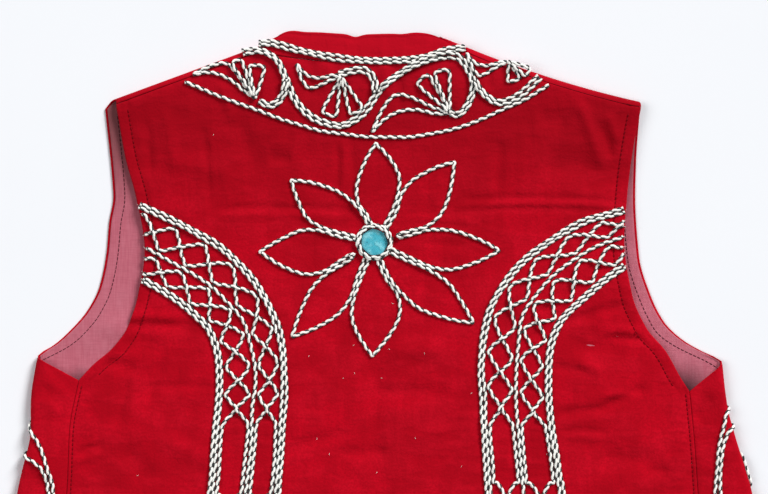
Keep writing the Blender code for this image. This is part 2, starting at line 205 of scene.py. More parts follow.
# Creases from one end to the other, as seen from above: soft ridges (rise above 0) and troughs (below 0)
CREASES = (
    # the old fold across the shoulder blades, and the short ones that stand on it
    Crease(-0.122, 0.1412, -0.023, 0.1402, 0.0024, -0.0007),
    Crease(-0.120, 0.1366, -0.026, 0.1356, 0.0028, 0.0005),
    Crease(0.052, 0.1478, 0.170, 0.1472, 0.0020, -0.0006),
    Crease(0.054, 0.1440, 0.168, 0.1432, 0.0020, 0.0005),
    Crease(0.052, 0.1400, 0.170, 0.1392, 0.0020, -0.0006),
    Crease(-0.1310, 0.199, -0.1270, 0.143, 0.0026, -0.0008),
    Crease(-0.0295, 0.190, -0.0300, 0.152, 0.0028, 0.0007),
    Crease(-0.0345, 0.189, -0.0345, 0.154, 0.0020, -0.0005),
    Crease(-0.0232, 0.190, -0.0236, 0.153, 0.0022, -0.0006),
    Crease(0.016, 0.1350, 0.064, 0.1322, 0.0022, 0.0006),
    Crease(0.028, 0.1172, 0.060, 0.1146, 0.0028, -0.0005),
    # the velvet that the couching below the neck draws up
    Crease(-0.052, 0.250, -0.054, 0.222, 0.0030, -0.0008),
    Crease(-0.040, 0.248, -0.044, 0.228, 0.0030, 0.0007),
    Crease(-0.002, 0.250, 0.002, 0.224, 0.0032, 0.0008),
    Crease(0.009, 0.246, 0.012, 0.214, 0.0030, -0.0008),
    Crease(0.030, 0.240, 0.026, 0.216, 0.0032, 0.0008),
    Crease(0.074, 0.246, 0.076, 0.228, 0.0030, -0.0007),
    Crease(-0.118, 0.232, -0.110, 0.206, 0.0036, 0.0007),
    # shoulders
    Crease(-0.083, 0.1790, -0.068, 0.1780, 0.0060, -0.0011),
    Crease(-0.172, 0.205, -0.170, 0.165, 0.0035, -0.0008),
    Crease(-0.160, 0.214, -0.150, 0.170, 0.0050, 0.0007),
    Crease(-0.152, 0.176, -0.112, 0.166, 0.0060, 0.0006),
    Crease(-0.108, 0.205, -0.090, 0.168, 0.0070, -0.0008),
    Crease(0.0820, 0.192, 0.0816, 0.157, 0.0045, -0.0009),
    Crease(0.112, 0.206, 0.131, 0.205, 0.0070, -0.0009),
    Crease(0.112, 0.171, 0.172, 0.165, 0.0120, -0.0012),
    Crease(0.121, 0.177, 0.148, 0.176, 0.0065, -0.0006),
    Crease(0.1386, 0.220, 0.1570, 0.172, 0.0042, 0.0012),
    Crease(0.1610, 0.210, 0.1676, 0.190, 0.0034, 0.0009),
    Crease(0.1540, 0.204, 0.1640, 0.178, 0.0032, -0.0009),
    # drag lines from the left armhole
    Crease(-0.186, 0.0640, -0.149, 0.0630, 0.0034, 0.0009),
    Crease(-0.188, 0.0575, -0.140, 0.0565, 0.0040, -0.0011),
    Crease(-0.190, 0.0470, -0.160, 0.0420, 0.0070, -0.0010),
    Crease(-0.202, 0.0320, -0.178, 0.0250, 0.0045, -0.0012),
    Crease(-0.161, 0.0320, -0.172, 0.0050, 0.0034, -0.0009),
    Crease(-0.185, 0.0190, -0.195, -0.0130, 0.0040, -0.0009),
    Crease(-0.174, 0.0132, -0.120, 0.0130, 0.0024, -0.0006),
    Crease(-0.222, -0.0350, -0.203, -0.0285, 0.0026, -0.0008),
    Crease(-0.224, -0.0410, -0.204, -0.0345, 0.0026, 0.0007),
    Crease(-0.188, -0.0300, -0.168, -0.0540, 0.0080, -0.0010),
    Crease(-0.160, -0.0240, -0.126, -0.0400, 0.0060, 0.0007),
    # drag lines from the right armhole
    Crease(0.130, 0.0600, 0.174, 0.0725, 0.0036, -0.0011),
    Crease(0.150, 0.0660, 0.149, 0.0490, 0.0052, -0.0009),
    Crease(0.160, 0.0536, 0.186, 0.0530, 0.0030, 0.0010),
    Crease(0.164, 0.0496, 0.186, 0.0476, 0.0030, -0.0010),
    Crease(0.136, 0.0430, 0.172, 0.0400, 0.0095, -0.0011),
    Crease(0.121, 0.0285, 0.146, 0.0236, 0.0028, -0.0009),
    Crease(0.139, 0.0322, 0.156, 0.0250, 0.0036, 0.0008),
    Crease(0.126, -0.0062, 0.160, -0.0022, 0.0032, -0.0011),
    Crease(0.156, -0.0026, 0.188, 0.0130, 0.0034, -0.0012),
    Crease(0.157, 0.0078, 0.182, 0.0076, 0.0030, 0.0009),
    Crease(0.123, -0.0190, 0.160, -0.0196, 0.0020, -0.0006),
    Crease(0.123, -0.0222, 0.158, -0.0228, 0.0020, 0.0006),
    Crease(0.153, -0.0385, 0.198, -0.0395, 0.0085, -0.0012),
    Crease(0.189, -0.0470, 0.204, -0.0480, 0.0045, -0.0009),
    # the middle of the back
    Crease(0.004, 0.0400, 0.042, 0.0410, 0.0070, 0.0011),
    Crease(-0.006, 0.0090, 0.042, 0.0086, 0.0062, -0.0011),
    Crease(-0.071, -0.0322, -0.027, -0.0190, 0.0036, -0.0008),
    Crease(-0.036, -0.0342, 0.003, -0.0346, 0.0040, -0.0008),
    Crease(-0.0084, 0.0320, -0.0080, -0.0420, 0.0050, -0.0008),
    Crease(0.018, -0.0240, 0.044, -0.0180, 0.0050, 0.0006),
    Crease(-0.030, 0.0640, -0.040, 0.0200, 0.0060, -0.0006),
    # the skirt
    Crease(-0.030, -0.080, -0.050, -0.220, 0.0120, 0.0010),
    Crease(0.030, -0.110, 0.052, -0.250, 0.0130, 0.0010),
    Crease(0.000, -0.100, -0.010, -0.250, 0.0110, -0.0009),
    Crease(-0.150, -0.090, -0.170, -0.250, 0.0120, 0.0011),
    Crease(0.150, -0.080, 0.172, -0.250, 0.0120, 0.0011),
    Crease(-0.190, -0.060, -0.206, -0.240, 0.0110, -0.0010),
    Crease(0.196, -0.070, 0.208, -0.230, 0.0110, -0.0010),
    Crease(-0.060, -0.104, 0.046, -0.098, 0.0026, -0.0006),
    Crease(-0.064, -0.109, 0.044, -0.103, 0.0028, 0.0005),
    Crease(0.040, -0.168, 0.090, -0.150, 0.0050, 0.0008),
    Crease(-0.084, -0.186, -0.030, -0.170, 0.0045, -0.0008),
    Crease(-0.220, -0.128, -0.168, -0.116, 0.0045, -0.0009),
    Crease(0.160, -0.138, 0.226, -0.122, 0.0045, -0.0009),
    Crease(0.164, -0.146, 0.222, -0.131, 0.0040, 0.0008),
    # the strips of the fronts that come round the folds
    Crease(-0.2500, 0.022, -0.2300, 0.008, 0.0034, 0.0009),
    Crease(-0.2480, 0.029, -0.2360, 0.016, 0.0028, 0.0007),
    Crease(-0.2500, 0.006, -0.2320, -0.006, 0.0038, 0.0008),
    Crease(-0.2560, -0.036, -0.2420, -0.052, 0.0050, 0.0008),
    Crease(0.2400, 0.026, 0.2240, 0.010, 0.0034, -0.0009),
    Crease(0.2360, 0.006, 0.2240, -0.010, 0.0045, -0.0008),
    Crease(0.2480, -0.030, 0.2320, -0.048, 0.0050, 0.0008),
)

# Where the couching draws the velvet in: fine puckers across a strip, from one height down to another
PuckerStrip = namedtuple("PuckerStrip", "inner outer top bottom")
PUCKER_STRIPS = (
    PuckerStrip(-0.074, -0.042, -0.008, -0.250),
    PuckerStrip(0.046, 0.071, -0.008, -0.250),
    PuckerStrip(-0.094, -0.078, 0.010, -0.250),
    PuckerStrip(-0.120, -0.102, -0.004, -0.250),
    PuckerStrip(0.075, 0.094, 0.004, -0.250),
    PuckerStrip(0.099, 0.119, -0.010, -0.250),
    PuckerStrip(-0.222, -0.206, 0.006, -0.262),
    PuckerStrip(0.204, 0.220, 0.000, -0.262),
)
# How far apart the puckers are, how unevenly, how fast that changes, and the shape and slant of each
PUCKER_SPACING = 0.0062
PUCKER_UNEVENNESS = 0.45
PUCKER_CHANGE = 90
PUCKER_ENDS = (0.10, 0.90)
PUCKER_SHORTENING = 0.30
PUCKER_SLANT = (0.0012, 0.0016)
PUCKER_HALF_WIDTH = 0.0017
PUCKER_RISE = 0.00042

# Creases of the fronts underneath, where the cloth rises off the surface
UNDER_CREASES = (
    Crease(-0.200, 0.060, -0.110, 0.020, 0.0080, 0.0011),
    Crease(-0.170, -0.020, -0.090, -0.060, 0.0090, 0.0010),
    Crease(-0.060, 0.120, -0.040, -0.030, 0.0070, 0.0009),
    Crease(-0.220, -0.120, -0.140, -0.160, 0.0100, 0.0010),
    Crease(-0.080, -0.110, -0.060, -0.250, 0.0090, 0.0011),
    Crease(-0.150, 0.190, -0.110, 0.130, 0.0070, 0.0009),
    Crease(0.196, 0.066, 0.120, 0.030, 0.0080, 0.0011),
    Crease(0.180, -0.010, 0.080, -0.046, 0.0080, 0.0010),
    Crease(0.050, 0.110, 0.064, -0.050, 0.0080, 0.0009),
    Crease(0.226, -0.130, 0.130, -0.150, 0.0090, 0.0011),
    Crease(0.100, -0.120, 0.070, -0.250, 0.0100, 0.0010),
    Crease(0.150, 0.200, 0.104, 0.140, 0.0070, 0.0009),
)


def mix(a, b, share):
    return a + (b - a) * share


def clamp(x, low=0.0, high=1.0):
    return min(max(x, low), high)


def ease(x):
    x = clamp(x)
    return x * x * (3 - 2 * x)


def curve_through(rows):
    """A smooth function through (at, value) rows, which never overshoots them."""
    at = [row[0] for row in rows]
    values = [row[1] for row in rows]
    steps = [(values[i + 1] - values[i]) / (at[i + 1] - at[i]) for i in range(len(rows) - 1)]
    slopes = [steps[0]]
    for before, after in zip(steps, steps[1:]):
        same_way = before * after > 0
        slopes.append(2 * before * after / (before + after) if same_way else 0.0)
    slopes.append(steps[-1])

    def value(x):
        x = clamp(x, at[0], at[-1])
        i = min(bisect_right(at, x), len(at) - 1) - 1
        span = at[i + 1] - at[i]
        t = (x - at[i]) / span
        bend = t * (1 - t) * ((1 - t) * slopes[i] - t * slopes[i + 1]) * span
        return mix(values[i], values[i + 1], ease(t)) + bend

    return value


def both_sides(tables):
    """The smooth curve through the stations of each side."""
    return {side: curve_through(rows) for side, rows in tables.items()}


fold_half_width = both_sides(SIDE_FOLD)
seam_half_width = both_sides(SIDE_SEAM)
back_armhole = both_sides(BACK_ARMHOLE)
front_armhole = both_sides(FRONT_ARMHOLE)


def swell(past, half_width):
    """A soft bump of height 1 where past is 0."""
    return math.exp(-((past / half_width) ** 2))


def waver(x, y, z):
    """A smooth, uneven value between about -1 and 1, the same on each run; set numbers pick a pattern."""
    return noise.noise(Vector((x, y, z)))


def side_of(across):
    return LEFT if across < 0 else RIGHT


def top_edge(across):
    """The height where the upper layer ends: the shoulder seams, and the neck seam between them."""
    side = side_of(across)
    corner = NECK_SIDE - FOLD_RADIUS
    past_neck = abs(across) - NECK_HALF_WIDTH[side]
    if past_neck < 0:
        return mix(NECK_BACK, corner, (across / NECK_HALF_WIDTH[side]) ** 2)
    return corner - SHOULDER_SLOPE[side] * past_neck + SHOULDER_CURL[side] * past_neck**2


def lean(height):
    """How far the garment, as it lies, leans to its left at this height."""
    past = max(0.0, height - LEAN_START)
    eased = past * past / (2 * LEAN_EASE) if past < LEAN_EASE else past - LEAN_EASE / 2
    return -LEAN * eased


def puckers():
    """The puckers of every strip, each a short ridge, unevenly spaced and slanted."""
    made = []
    for n, strip in enumerate(PUCKER_STRIPS):
        height = strip.top
        while height > strip.bottom:
            hand = waver(height * PUCKER_CHANGE, n * 4.7, 1.5)
            other = waver(height * PUCKER_CHANGE, n * 4.7, 8.5)
            x0 = mix(strip.inner, strip.outer, PUCKER_ENDS[0] + PUCKER_SHORTENING * abs(other))
            x1 = mix(strip.inner, strip.outer, PUCKER_ENDS[1] - PUCKER_SHORTENING * abs(hand))
            y0 = height + PUCKER_SLANT[0] * hand
            y1 = height + PUCKER_SLANT[1] * other
            made.append(Crease(x0, y0, x1, y1, PUCKER_HALF_WIDTH, PUCKER_RISE))
            height -= PUCKER_SPACING * (1 + PUCKER_UNEVENNESS * hand)
    return made


# The shape of a crease: it bows a little along its length, and fades towards its ends and its sides
CREASE_BIN = 0.02
CREASE_REACH = 3
CREASE_DEPTH = 1.9
CREASE_BOW = 0.08
CREASE_FADE = 3
CREASE_END = 0.4


def bin_of(x):
    return math.floor(x / CREASE_BIN)


def crease_bins(creases):
    """The creases that reach into each square of cloth, so that a point looks only at the ones near it."""
    bins = {}
    for c in creases:
        reach = CREASE_REACH * c.half_width
        for i in range(bin_of(min(c.x0, c.x1) - reach), bin_of(max(c.x0, c.x1) + reach) + 1):
            for j in range(bin_of(min(c.y0, c.y1) - reach), bin_of(max(c.y0, c.y1) + reach) + 1):
                bins.setdefault((i, j), []).append(c)
    return bins


UPPER_CREASES = crease_bins([*CREASES, *puckers()])
LOWER_CREASES = crease_bins(UNDER_CREASES)


def crease_rise(bins, x, y):
    """How far the creases lift or lower the cloth at a point, as seen from above."""
    total = 0.0
    for c in bins.get((bin_of(x), bin_of(y)), ()):
        run_x = c.x1 - c.x0
        run_y = c.y1 - c.y0
        length = math.hypot(run_x, run_y)
        along = ((x - c.x0) * run_x + (y - c.y0) * run_y) / length
        aside = ((x - c.x0) * run_y - (y - c.y0) * run_x) / length
        share = along / length
        aside += CREASE_BOW * length * share * (1 - share)
        past_end = max(0.0, -along, along - length)
        fade = ease(share * CREASE_FADE + CREASE_END) * ease((1 - share) * CREASE_FADE + CREASE_END)
        shape = swell(aside, c.half_width) * swell(past_end, 2 * c.half_width)
        total += CREASE_DEPTH * c.rise * fade * shape
    return total


# The uneven hand of the cloth: low, broad waves, level and upright ones, and finer ones
Wave = namedtuple("Wave", "across height pattern rise")
RIPPLES = (
    Wave(22, 26, 3.1, 0.00060),
    Wave(30, 90, 5.3, 0.00018),
    Wave(110, 24, 9.1, 0.00020),
    Wave(90, 110, 7.7, 0.00016),
)
RIPPLE_AT_FOLD = 0.35
FLAT_START = 0.006


def ripple(across, height):
    return sum(w.rise * waver(across * w.across, height * w.height, w.pattern) for w in RIPPLES)


def upper_height(across, height):
    """Height of the upper layer's outer face above the surface that the vest lies on."""
    side_here = side_of(across)
    from_side = fold_half_width[side_here](height) - FOLD_RADIUS - abs(across)
    armhole_fade = max(0.0, height - ARMHOLE_FOLD[side_here]) / FOLD_SWELL
    side = swell(max(0.0, from_side), FOLD_SWELL) * math.exp(-armhole_fade)
    from_top = max(0.0, top_edge(across) - height)
    top = swell(from_top, FOLD_SWELL)
    folds = 1 - (1 - side) * (1 - top)
    puffs = sum(
        p.rise * swell(across - p.across, p.half_width) * swell(height - p.height, p.half_height)
        for p in PUFFS
    )
    flat_share = ease(max(0.0, from_side) / FLAT_START) * ease(from_top / FLAT_START)
    creases = crease_rise(UPPER_CREASES, across + lean(height), height)
    uneven = (creases + ripple(across, height)) * mix(RIPPLE_AT_FOLD, 1.0, flat_share)
    return REST_HEIGHT + (FOLD_TOP - REST_HEIGHT) * folds + puffs * (1 - folds) + uneven


def round_fold(start, past, depth):
    """Where a point past the start of a fold lies on its arc, and how high."""
    angle = min(past / FOLD_RADIUS, math.pi)
    radius = FOLD_RADIUS - depth
    return start + radius * math.sin(angle), FOLD_RADIUS - radius * math.cos(angle)


# ---------------------------------------------------------------- places on the lying vest
UNDER_UNEVENNESS = 0.00035
UNDER_CHANGE = (30, 24)
UNDER_CORD_LIFT = 0.0017
UNDER_CORD_NEAR = 0.003
UNDER_CORD_SPREAD = 0.010
FOLD_WAVE = 0.0004
FOLD_CHANGE = 45


def under_lift(side, girth, height):
    """How far the layer underneath stays off the surface: unevenly, and more where cords lie under it."""
    uneven = UNDER_UNEVENNESS * (1 + waver(girth * UNDER_CHANGE[0], height * UNDER_CHANGE[1], 5.0 * side))
    uneven += crease_rise(LOWER_CREASES, side * girth, height)
    nearest = UNDER_CORDS.find((side * girth, height, 0.0))[2]
    return uneven + UNDER_CORD_LIFT * swell(max(0.0, nearest - UNDER_CORD_NEAR), UNDER_CORD_SPREAD)


def on_upper_layer(across, height, depth):
    z = upper_height(across, height) - depth
    return Vector((across + lean(height), height, z))


def round_side_fold(side, past, height, depth):
    """A point on a side fold, whose arc starts underneath and ends level with the upper layer."""
    fold_start = fold_half_width[side](height) - FOLD_RADIUS
    reach, z = round_fold(fold_start, past, depth)
    over = clamp(past / FOLD_ARC)
    low = under_lift(side, fold_start, height)
    high = upper_height(side * fold_start, height) - FOLD_TOP
    wave = FOLD_WAVE * waver(side * 3.0, height * FOLD_CHANGE, over)
    bulge = wave * math.sin(over * math.pi)
    return Vector((side * (reach + bulge) + lean(height), height, z + mix(low, high, ease(over))))


def on_front(side, girth, height, depth):
    """A point of a front panel. The girth is measured on the cloth from the centre front."""
    fold_start = fold_half_width[side](height) - FOLD_RADIUS
    past_side = girth - fold_start
    top = top_edge(side * girth)
    past_top = height - top if girth < fold_start else -1.0
    if past_side > FOLD_ARC:
        across = fold_start - (past_side - FOLD_ARC)
        return on_upper_layer(side * across, height, depth)
    if past_side > 0:
        return round_side_fold(side, past_side, height, depth)
    if past_top > 0:
        over = clamp(past_top / FOLD_ARC)
        low = under_lift(side, girth, top)
        high = upper_height(side * girth, top) - FOLD_TOP
        height, z = round_fold(top, past_top, depth)
        return Vector((side * girth + lean(height), height, z + mix(low, high, ease(over))))
    return Vector((side * girth + lean(height), height, depth + under_lift(side, girth, height)))


def on_vest(across, height, depth=0.0):
    """A point of the vest as seen from behind, where across runs on round the side folds to the fronts."""
    side = side_of(across)
    fold_start = fold_half_width[side](height) - FOLD_RADIUS
    if abs(across) <= fold_start:
        return on_upper_layer(across, height, depth)
    return on_front(side, 2 * fold_start + FOLD_ARC - abs(across), height, depth)


# ---------------------------------------------------------------- outlines of the panels
# Distances of a sheet's outermost rows from its rim, and how far each is tucked in to the middle of the wall
RIM = (0.0, 0.0003, 0.0009)
RIM_TUCK = (0.85, 0.30, 0.0)
# The least width that a front's last columns keep, from the armhole's corner upwards
SQUEEZED_WIDTH = 0.0030
SPREAD_WIDTH = 0.0120
SPREAD_RISE = 0.020
ARMHOLE_TRIM_START = 0.004
CORNER_ROW_START = 0.050
NECK_ROW_END = 0.120

GridSize = namedtuple("GridSize", "flat fold strip skirt corner armhole neck over")
VELVET_GRID = GridSize(flat=80, fold=10, strip=12, skirt=84, corner=8, armhole=26, neck=34, over=10)
LINING_GRID = GridSize(flat=56, fold=8, strip=9, skirt=60, corner=5, armhole=20, neck=26, over=8)
Trim = namedtuple("Trim", "hem edge armhole")
NO_TRIM = Trim(0.0, 0.0, 0.0)
LINING_TRIM = Trim(hem=0.0045, edge=0.0022, armhole=0.0018)


def front_edge(side, height):
    """Half the width of the front opening, or of the front neckline above it."""
    from_top = clamp((NECK_SIDE - FOLD_RADIUS - height) / FRONT_NECK_DEPTH)
    return max(FRONT_EDGE, NECK_HALF_WIDTH[side] * math.sqrt(1 - from_top**2))


def tip_height(armhole, side):
    """Height where an armhole's edge reaches the shoulder."""
    return top_edge(side * armhole[side](SHOULDER_TIP))


def front_side_edge(side, height):
    """Girth where a front panel ends: the side seam, the armhole, and the turn over the shoulder."""
    if height < ARMHOLE_FOLD[side]:
        low = min(height, UNDERARM[side])
        fold_start = fold_half_width[side](low) - FOLD_RADIUS
        seam = 2 * fold_start + FOLD_ARC - seam_half_width[side](low) - SEAM_GAP / 2
        climb = clamp((height - UNDERARM[side]) / (ARMHOLE_FOLD[side] - UNDERARM[side]))
        return mix(seam, front_armhole[side](ARMHOLE_FOLD[side]), climb)
    over = clamp((height - tip_height(front_armhole, side)) / FOLD_ARC)
    return mix(front_armhole[side](height), back_armhole[side](height), over)


def front_rows(side, size, trim):
    """(height at the inner edge, height at the outer edge) of every row of a front panel."""
    neck_top = NECK_SIDE - FOLD_RADIUS
    tip = tip_height(front_armhole, side)
    seam = tip_height(back_armhole, side) + FOLD_ARC
    hem = (HEM_CENTRE + trim.hem, HEM_SIDE + trim.hem)
    stops = (
        (hem, 0),
        ((UNDERARM[side], UNDERARM[side]), size.skirt),
        ((CORNER_ROW_START, ARMHOLE_FOLD[side]), size.corner),
        ((neck_top - FRONT_NECK_DEPTH, NECK_ROW_END), size.armhole),
        ((neck_top, tip), size.neck),
        ((neck_top + FOLD_ARC, seam), size.over),
    )
    rows = [(hem[0] + past, hem[1] + past) for past in RIM[:-1]]
    start = (hem[0] + RIM[-1], hem[1] + RIM[-1])
    for high, count in stops[1:]:
        for k in range(count):
            share = k / count
            curved = high[0] == neck_top
            inner_share = 1 - math.cos(share * math.pi / 2) if curved else share
            rows.append((mix(start[0], high[0], inner_share), mix(start[1], high[1], share)))
        start = high
    return rows + [(start[0] - past, start[1] - past) for past in reversed(RIM)]


def front_girths(side, inner, outer, size, trim):
    """The girth of each column along one row of a front panel."""
    start = front_edge(side, inner) + trim.edge
    end = front_side_edge(side, outer) - trim.armhole * clamp((outer - UNDERARM[side]) / ARMHOLE_TRIM_START)
    spare = mix(SQUEEZED_WIDTH, SPREAD_WIDTH, clamp((outer - ARMHOLE_FOLD[side]) / SPREAD_RISE))
    fold_start = fold_half_width[side](outer) - FOLD_RADIUS
    first = min(fold_start, end - 2 * spare)
    second = min(fold_start + FOLD_ARC, end - spare)
    girths = [start + past for past in RIM[:-1]]
    spans = (
        (start + RIM[-1], first, size.flat),
        (first, second, size.fold),
        (second, end - RIM[-1], size.strip),
    )
    for low, high, count in spans:
        girths += [mix(low, high, k / count) for k in range(count)]
    return girths + [end - past for past in reversed(RIM)]


# Distances of the back's outermost columns from its side edges, close together at edge and stitches
SEAM_STITCH = 0.0028
ARMHOLE_STITCH = 0.0080
EDGE_COLUMNS = (*RIM, 0.0019, SEAM_STITCH, 0.0037, 0.0054, 0.0071, ARMHOLE_STITCH, 0.0089, 0.0110)
SLANT_RUN = 0.003
MOST_SLANT = 1.6
BACK_COLUMNS = 176
BACK_SKIRT_ROWS = 116
BACK_ARMHOLE_ROWS = 28
BACK_SHOULDER_ROWS = 66


def back_side_edge(side, height):
    """Half the width of the back panel at one of its side edges."""
    if height <= UNDERARM[side]:
        return seam_half_width[side](height) - SEAM_GAP / 2
    return back_armhole[side](height)


def back_rows(side):
    """Height of every row of the back panel at one of its side edges."""
    tip = tip_height(back_armhole, side) - SEAM_GAP
    spans = (
        (HEM_SIDE + RIM[-1], UNDERARM[side], BACK_SKIRT_ROWS),
        (UNDERARM[side], ARMHOLE_DEEPEST, BACK_ARMHOLE_ROWS),
        (ARMHOLE_DEEPEST, tip - RIM[-1], BACK_SHOULDER_ROWS),
    )
    rows = [HEM_SIDE + past for past in RIM[:-1]]
    for low, high, count in spans:
        rows += [mix(low, high, k / count) for k in range(count)]
    return rows + [tip - past for past in reversed(RIM)]


def edge_slant(side, height):
    """How much longer a distance from the back's side edge is when measured straight across."""
    widening = back_side_edge(side, height + SLANT_RUN) - back_side_edge(side, height - SLANT_RUN)
    return min(math.hypot(1, widening / (2 * SLANT_RUN)), MOST_SLANT)


def back_columns(left, right, left_slant, right_slant):
    """The places of the back's columns along a row from its left edge to its right edge."""
    low = left + EDGE_COLUMNS[-1] * left_slant
    high = right - EDGE_COLUMNS[-1] * right_slant
    line = [left + past * left_slant for past in EDGE_COLUMNS[:-1]]
    line += [mix(low, high, k / BACK_COLUMNS) for k in range(BACK_COLUMNS)]
    return line + [right - past * right_slant for past in reversed(EDGE_COLUMNS)]


# How the stitches draw the velvet in: at the side seam, at the armhole, and in puckers along its edge
Dip = namedtuple("Dip", "inset half_width depth")
SEAM_DIP = Dip(SEAM_STITCH, 0.0011, 0.00050)
ARMHOLE_DIP = Dip(ARMHOLE_STITCH, 0.0014, 0.00060)
PUCKERED_DIP = Dip(0.0045, 0.0026, 0.00030)
DIP_RISE = 0.008
PUCKERED_CHANGE = (260, 90)


def stitched_dip(side, past, height):
    """How far the velvet is drawn in at a distance past from the back's side seam or armhole."""
    above = ease((height - UNDERARM[side]) / DIP_RISE + 0.5)
    gathered = waver(height * PUCKERED_CHANGE[0], past * PUCKERED_CHANGE[1], 6.0)
    total = 0.0
    for dip, share in ((SEAM_DIP, 1 - above), (ARMHOLE_DIP, above), (PUCKERED_DIP, gathered * above)):
        total += dip.depth * share * swell(past - dip.inset, dip.half_width)
    return total


# ---------------------------------------------------------------- making meshes
def finished(name, mesh_builder, materials):
    """The finished piece of a bmesh: closed, facing outwards, smooth, and riding on the vest's one body."""
    if mesh_builder.calc_volume(signed=True) < 0:
        bmesh.ops.reverse_faces(mesh_builder, faces=mesh_builder.faces)
    mesh = bpy.data.meshes.new(name)
    mesh_builder.to_mesh(mesh)
    mesh_builder.free()
    for material in materials:
        mesh.materials.append(material)
    mesh.shade_smooth()
    piece = bpy.data.objects.new(name, mesh)
    bpy.context.scene.collection.objects.link(piece)
    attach(piece, "root")
    return piece


def new_sheet(name, columns, rows, place, thickness, material):
    """A cloth shell whose vertex in column i, row j, at either face, goes to place(i, j, depth)."""
    slab = bmesh.new()
    bmesh.ops.create_grid(slab, x_segments=columns, y_segments=rows, size=0.5)
    copied = bmesh.ops.extrude_face_region(slab, geom=slab.faces[:])["geom"]
    inner = [item for item in copied if isinstance(item, bmesh.types.BMVert)]
    bmesh.ops.translate(slab, verts=inner, vec=(0, 0, thickness))
    for vertex in slab.verts:
        i = round((vertex.co.x + 0.5) * columns)
        j = round((vertex.co.y + 0.5) * rows)
        from_rim = min(i, j, columns - i, rows - j, len(RIM) - 1)
        depth = mix(vertex.co.z, thickness / 2, RIM_TUCK[from_rim])
        vertex.co = place(i, j, depth)
    return finished(name, slab, [material])


def build_front(hand, side, velvet, cotton):
    """One front: its velvet, and the lining on its inner face."""
    pieces = []
    layers = (
        (f"front_velvet_{hand}", VELVET_GRID, NO_TRIM, 0.0, VELVET, velvet),
        (f"lining_cotton_{hand}", LINING_GRID, LINING_TRIM, LINING_DEPTH, LINING, cotton),
    )
    for name, size, trim, start_depth, thickness, material in layers:
        rows = front_rows(side, size, trim)
        girths = [front_girths(side, inner, outer, size, trim) for inner, outer in rows]

        def place(i, j, depth):
            inner, outer = rows[j]
            line = girths[j]
            share = (line[i] - line[0]) / (line[-1] - line[0])
            return on_front(side, line[i], mix(inner, outer, share), start_depth + depth)

        pieces.append(new_sheet(name, len(girths[0]) - 1, len(rows) - 1, place, thickness, material))
    return pieces


def build_back(velvet):
    left_rows = back_rows(LEFT)
    right_rows = back_rows(RIGHT)
    left_tip = left_rows[-1]
    right_tip = right_rows[-1]
    left_end = -back_side_edge(LEFT, left_tip)
    right_end = back_side_edge(RIGHT, right_tip)
    top_line = back_columns(left_end, right_end, 1.0, 1.0)
    shares = [(x - left_end) / (right_end - left_end) for x in top_line]
    roof = [top_edge(x) - SEAM_GAP - mix(left_tip, right_tip, s) for x, s in zip(top_line, shares)]
    lines = []
    for left_height, right_height in zip(left_rows, right_rows):
        left = -back_side_edge(LEFT, left_height)
        right = back_side_edge(RIGHT, right_height)
        left_slant = edge_slant(LEFT, left_height)
        right_slant = edge_slant(RIGHT, right_height)
        lines.append(back_columns(left, right, left_slant, right_slant))

    def place(i, j, depth):
        line = lines[j]
        share = (line[i] - line[0]) / (line[-1] - line[0])
        side_height = mix(left_rows[j], right_rows[j], share)
        climb = (side_height - HEM_SIDE) / (mix(left_tip, right_tip, share) - HEM_SIDE)
        hem_drop = (HEM_CENTRE - HEM_SIDE) * (1 - (2 * share - 1) ** 2)
        height = side_height + climb**2 * roof[i] + (1 - climb) ** 2 * hem_drop
        past = EDGE_COLUMNS[min(i, len(line) - 1 - i, len(EDGE_COLUMNS) - 1)]
        return on_upper_layer(line[i], height, depth + stitched_dip(side_of(line[i]), past, side_height))

    return new_sheet("back_velvet", len(top_line) - 1, len(left_rows) - 1, place, VELVET, velvet)


COLLAR_COLUMNS = 28
COLLAR_TURN_COLUMNS = 8
COLLAR_SEAM = 0.0176
# How far up the collar each of its rows is
COLLAR_UPS = (
    0.0, 0.0003, 0.0009, 0.0030, 0.0060, 0.0090, 0.0120,
    0.0150, 0.0168, COLLAR_SEAM, 0.0184, 0.0194, 0.0200, COLLAR_HEIGHT,
)
COLLAR_SEAM_DEPTH = 0.0004
COLLAR_SEAM_HALF_WIDTH = 0.0009
COLLAR_WAVE = 0.0004
COLLAR_CHANGE = (40, 60)
CollarPucker = namedtuple("CollarPucker", "across half_width drop")
COLLAR_PUCKERS = (
    CollarPucker(-0.0075, 0.0050, 0.0020),
    CollarPucker(0.0300, 0.0080, 0.0008),
    CollarPucker(-0.0480, 0.0090, 0.0007),
)
COLLAR_PUCKER_SINK = 0.30


def collar_drop(across):
    """How far the puckers draw the collar's edge down towards the seam."""
    return sum(p.drop * swell(across - p.across, p.half_width) for p in COLLAR_PUCKERS)


def collar_facing(side, turn):
    """The direction in which the collar stands at the neck point of a side, as it turns round the fold."""
    rise = mix(COLLAR_SIDE_ANGLE[side], COLLAR_FOLD_ANGLE[side], math.sin(turn))
    return rise if side == LEFT else math.pi - rise


def collar_side(side):
    """The collar's stations on one side, from the front edge up to the neck point and round the fold."""
    neck_top = NECK_SIDE - FOLD_RADIUS
    stations = []
    for k in range(COLLAR_COLUMNS + 1):
        share = k / COLLAR_COLUMNS
        climbed = share * math.pi / 2
        height = neck_top - FRONT_NECK_DEPTH * math.cos(climbed)
        facing = math.pi / 2 - climbed + COLLAR_SIDE_ANGLE[side] * share**3
        facing = facing if side == LEFT else math.pi - facing
        stations.append((side * front_edge(side, height), height, 0.0, facing))
    for k in range(1, COLLAR_TURN_COLUMNS + 1):
        turn = math.pi * k / COLLAR_TURN_COLUMNS
        stations.append((side * NECK_HALF_WIDTH[side], neck_top, turn, collar_facing(side, turn)))
    return stations


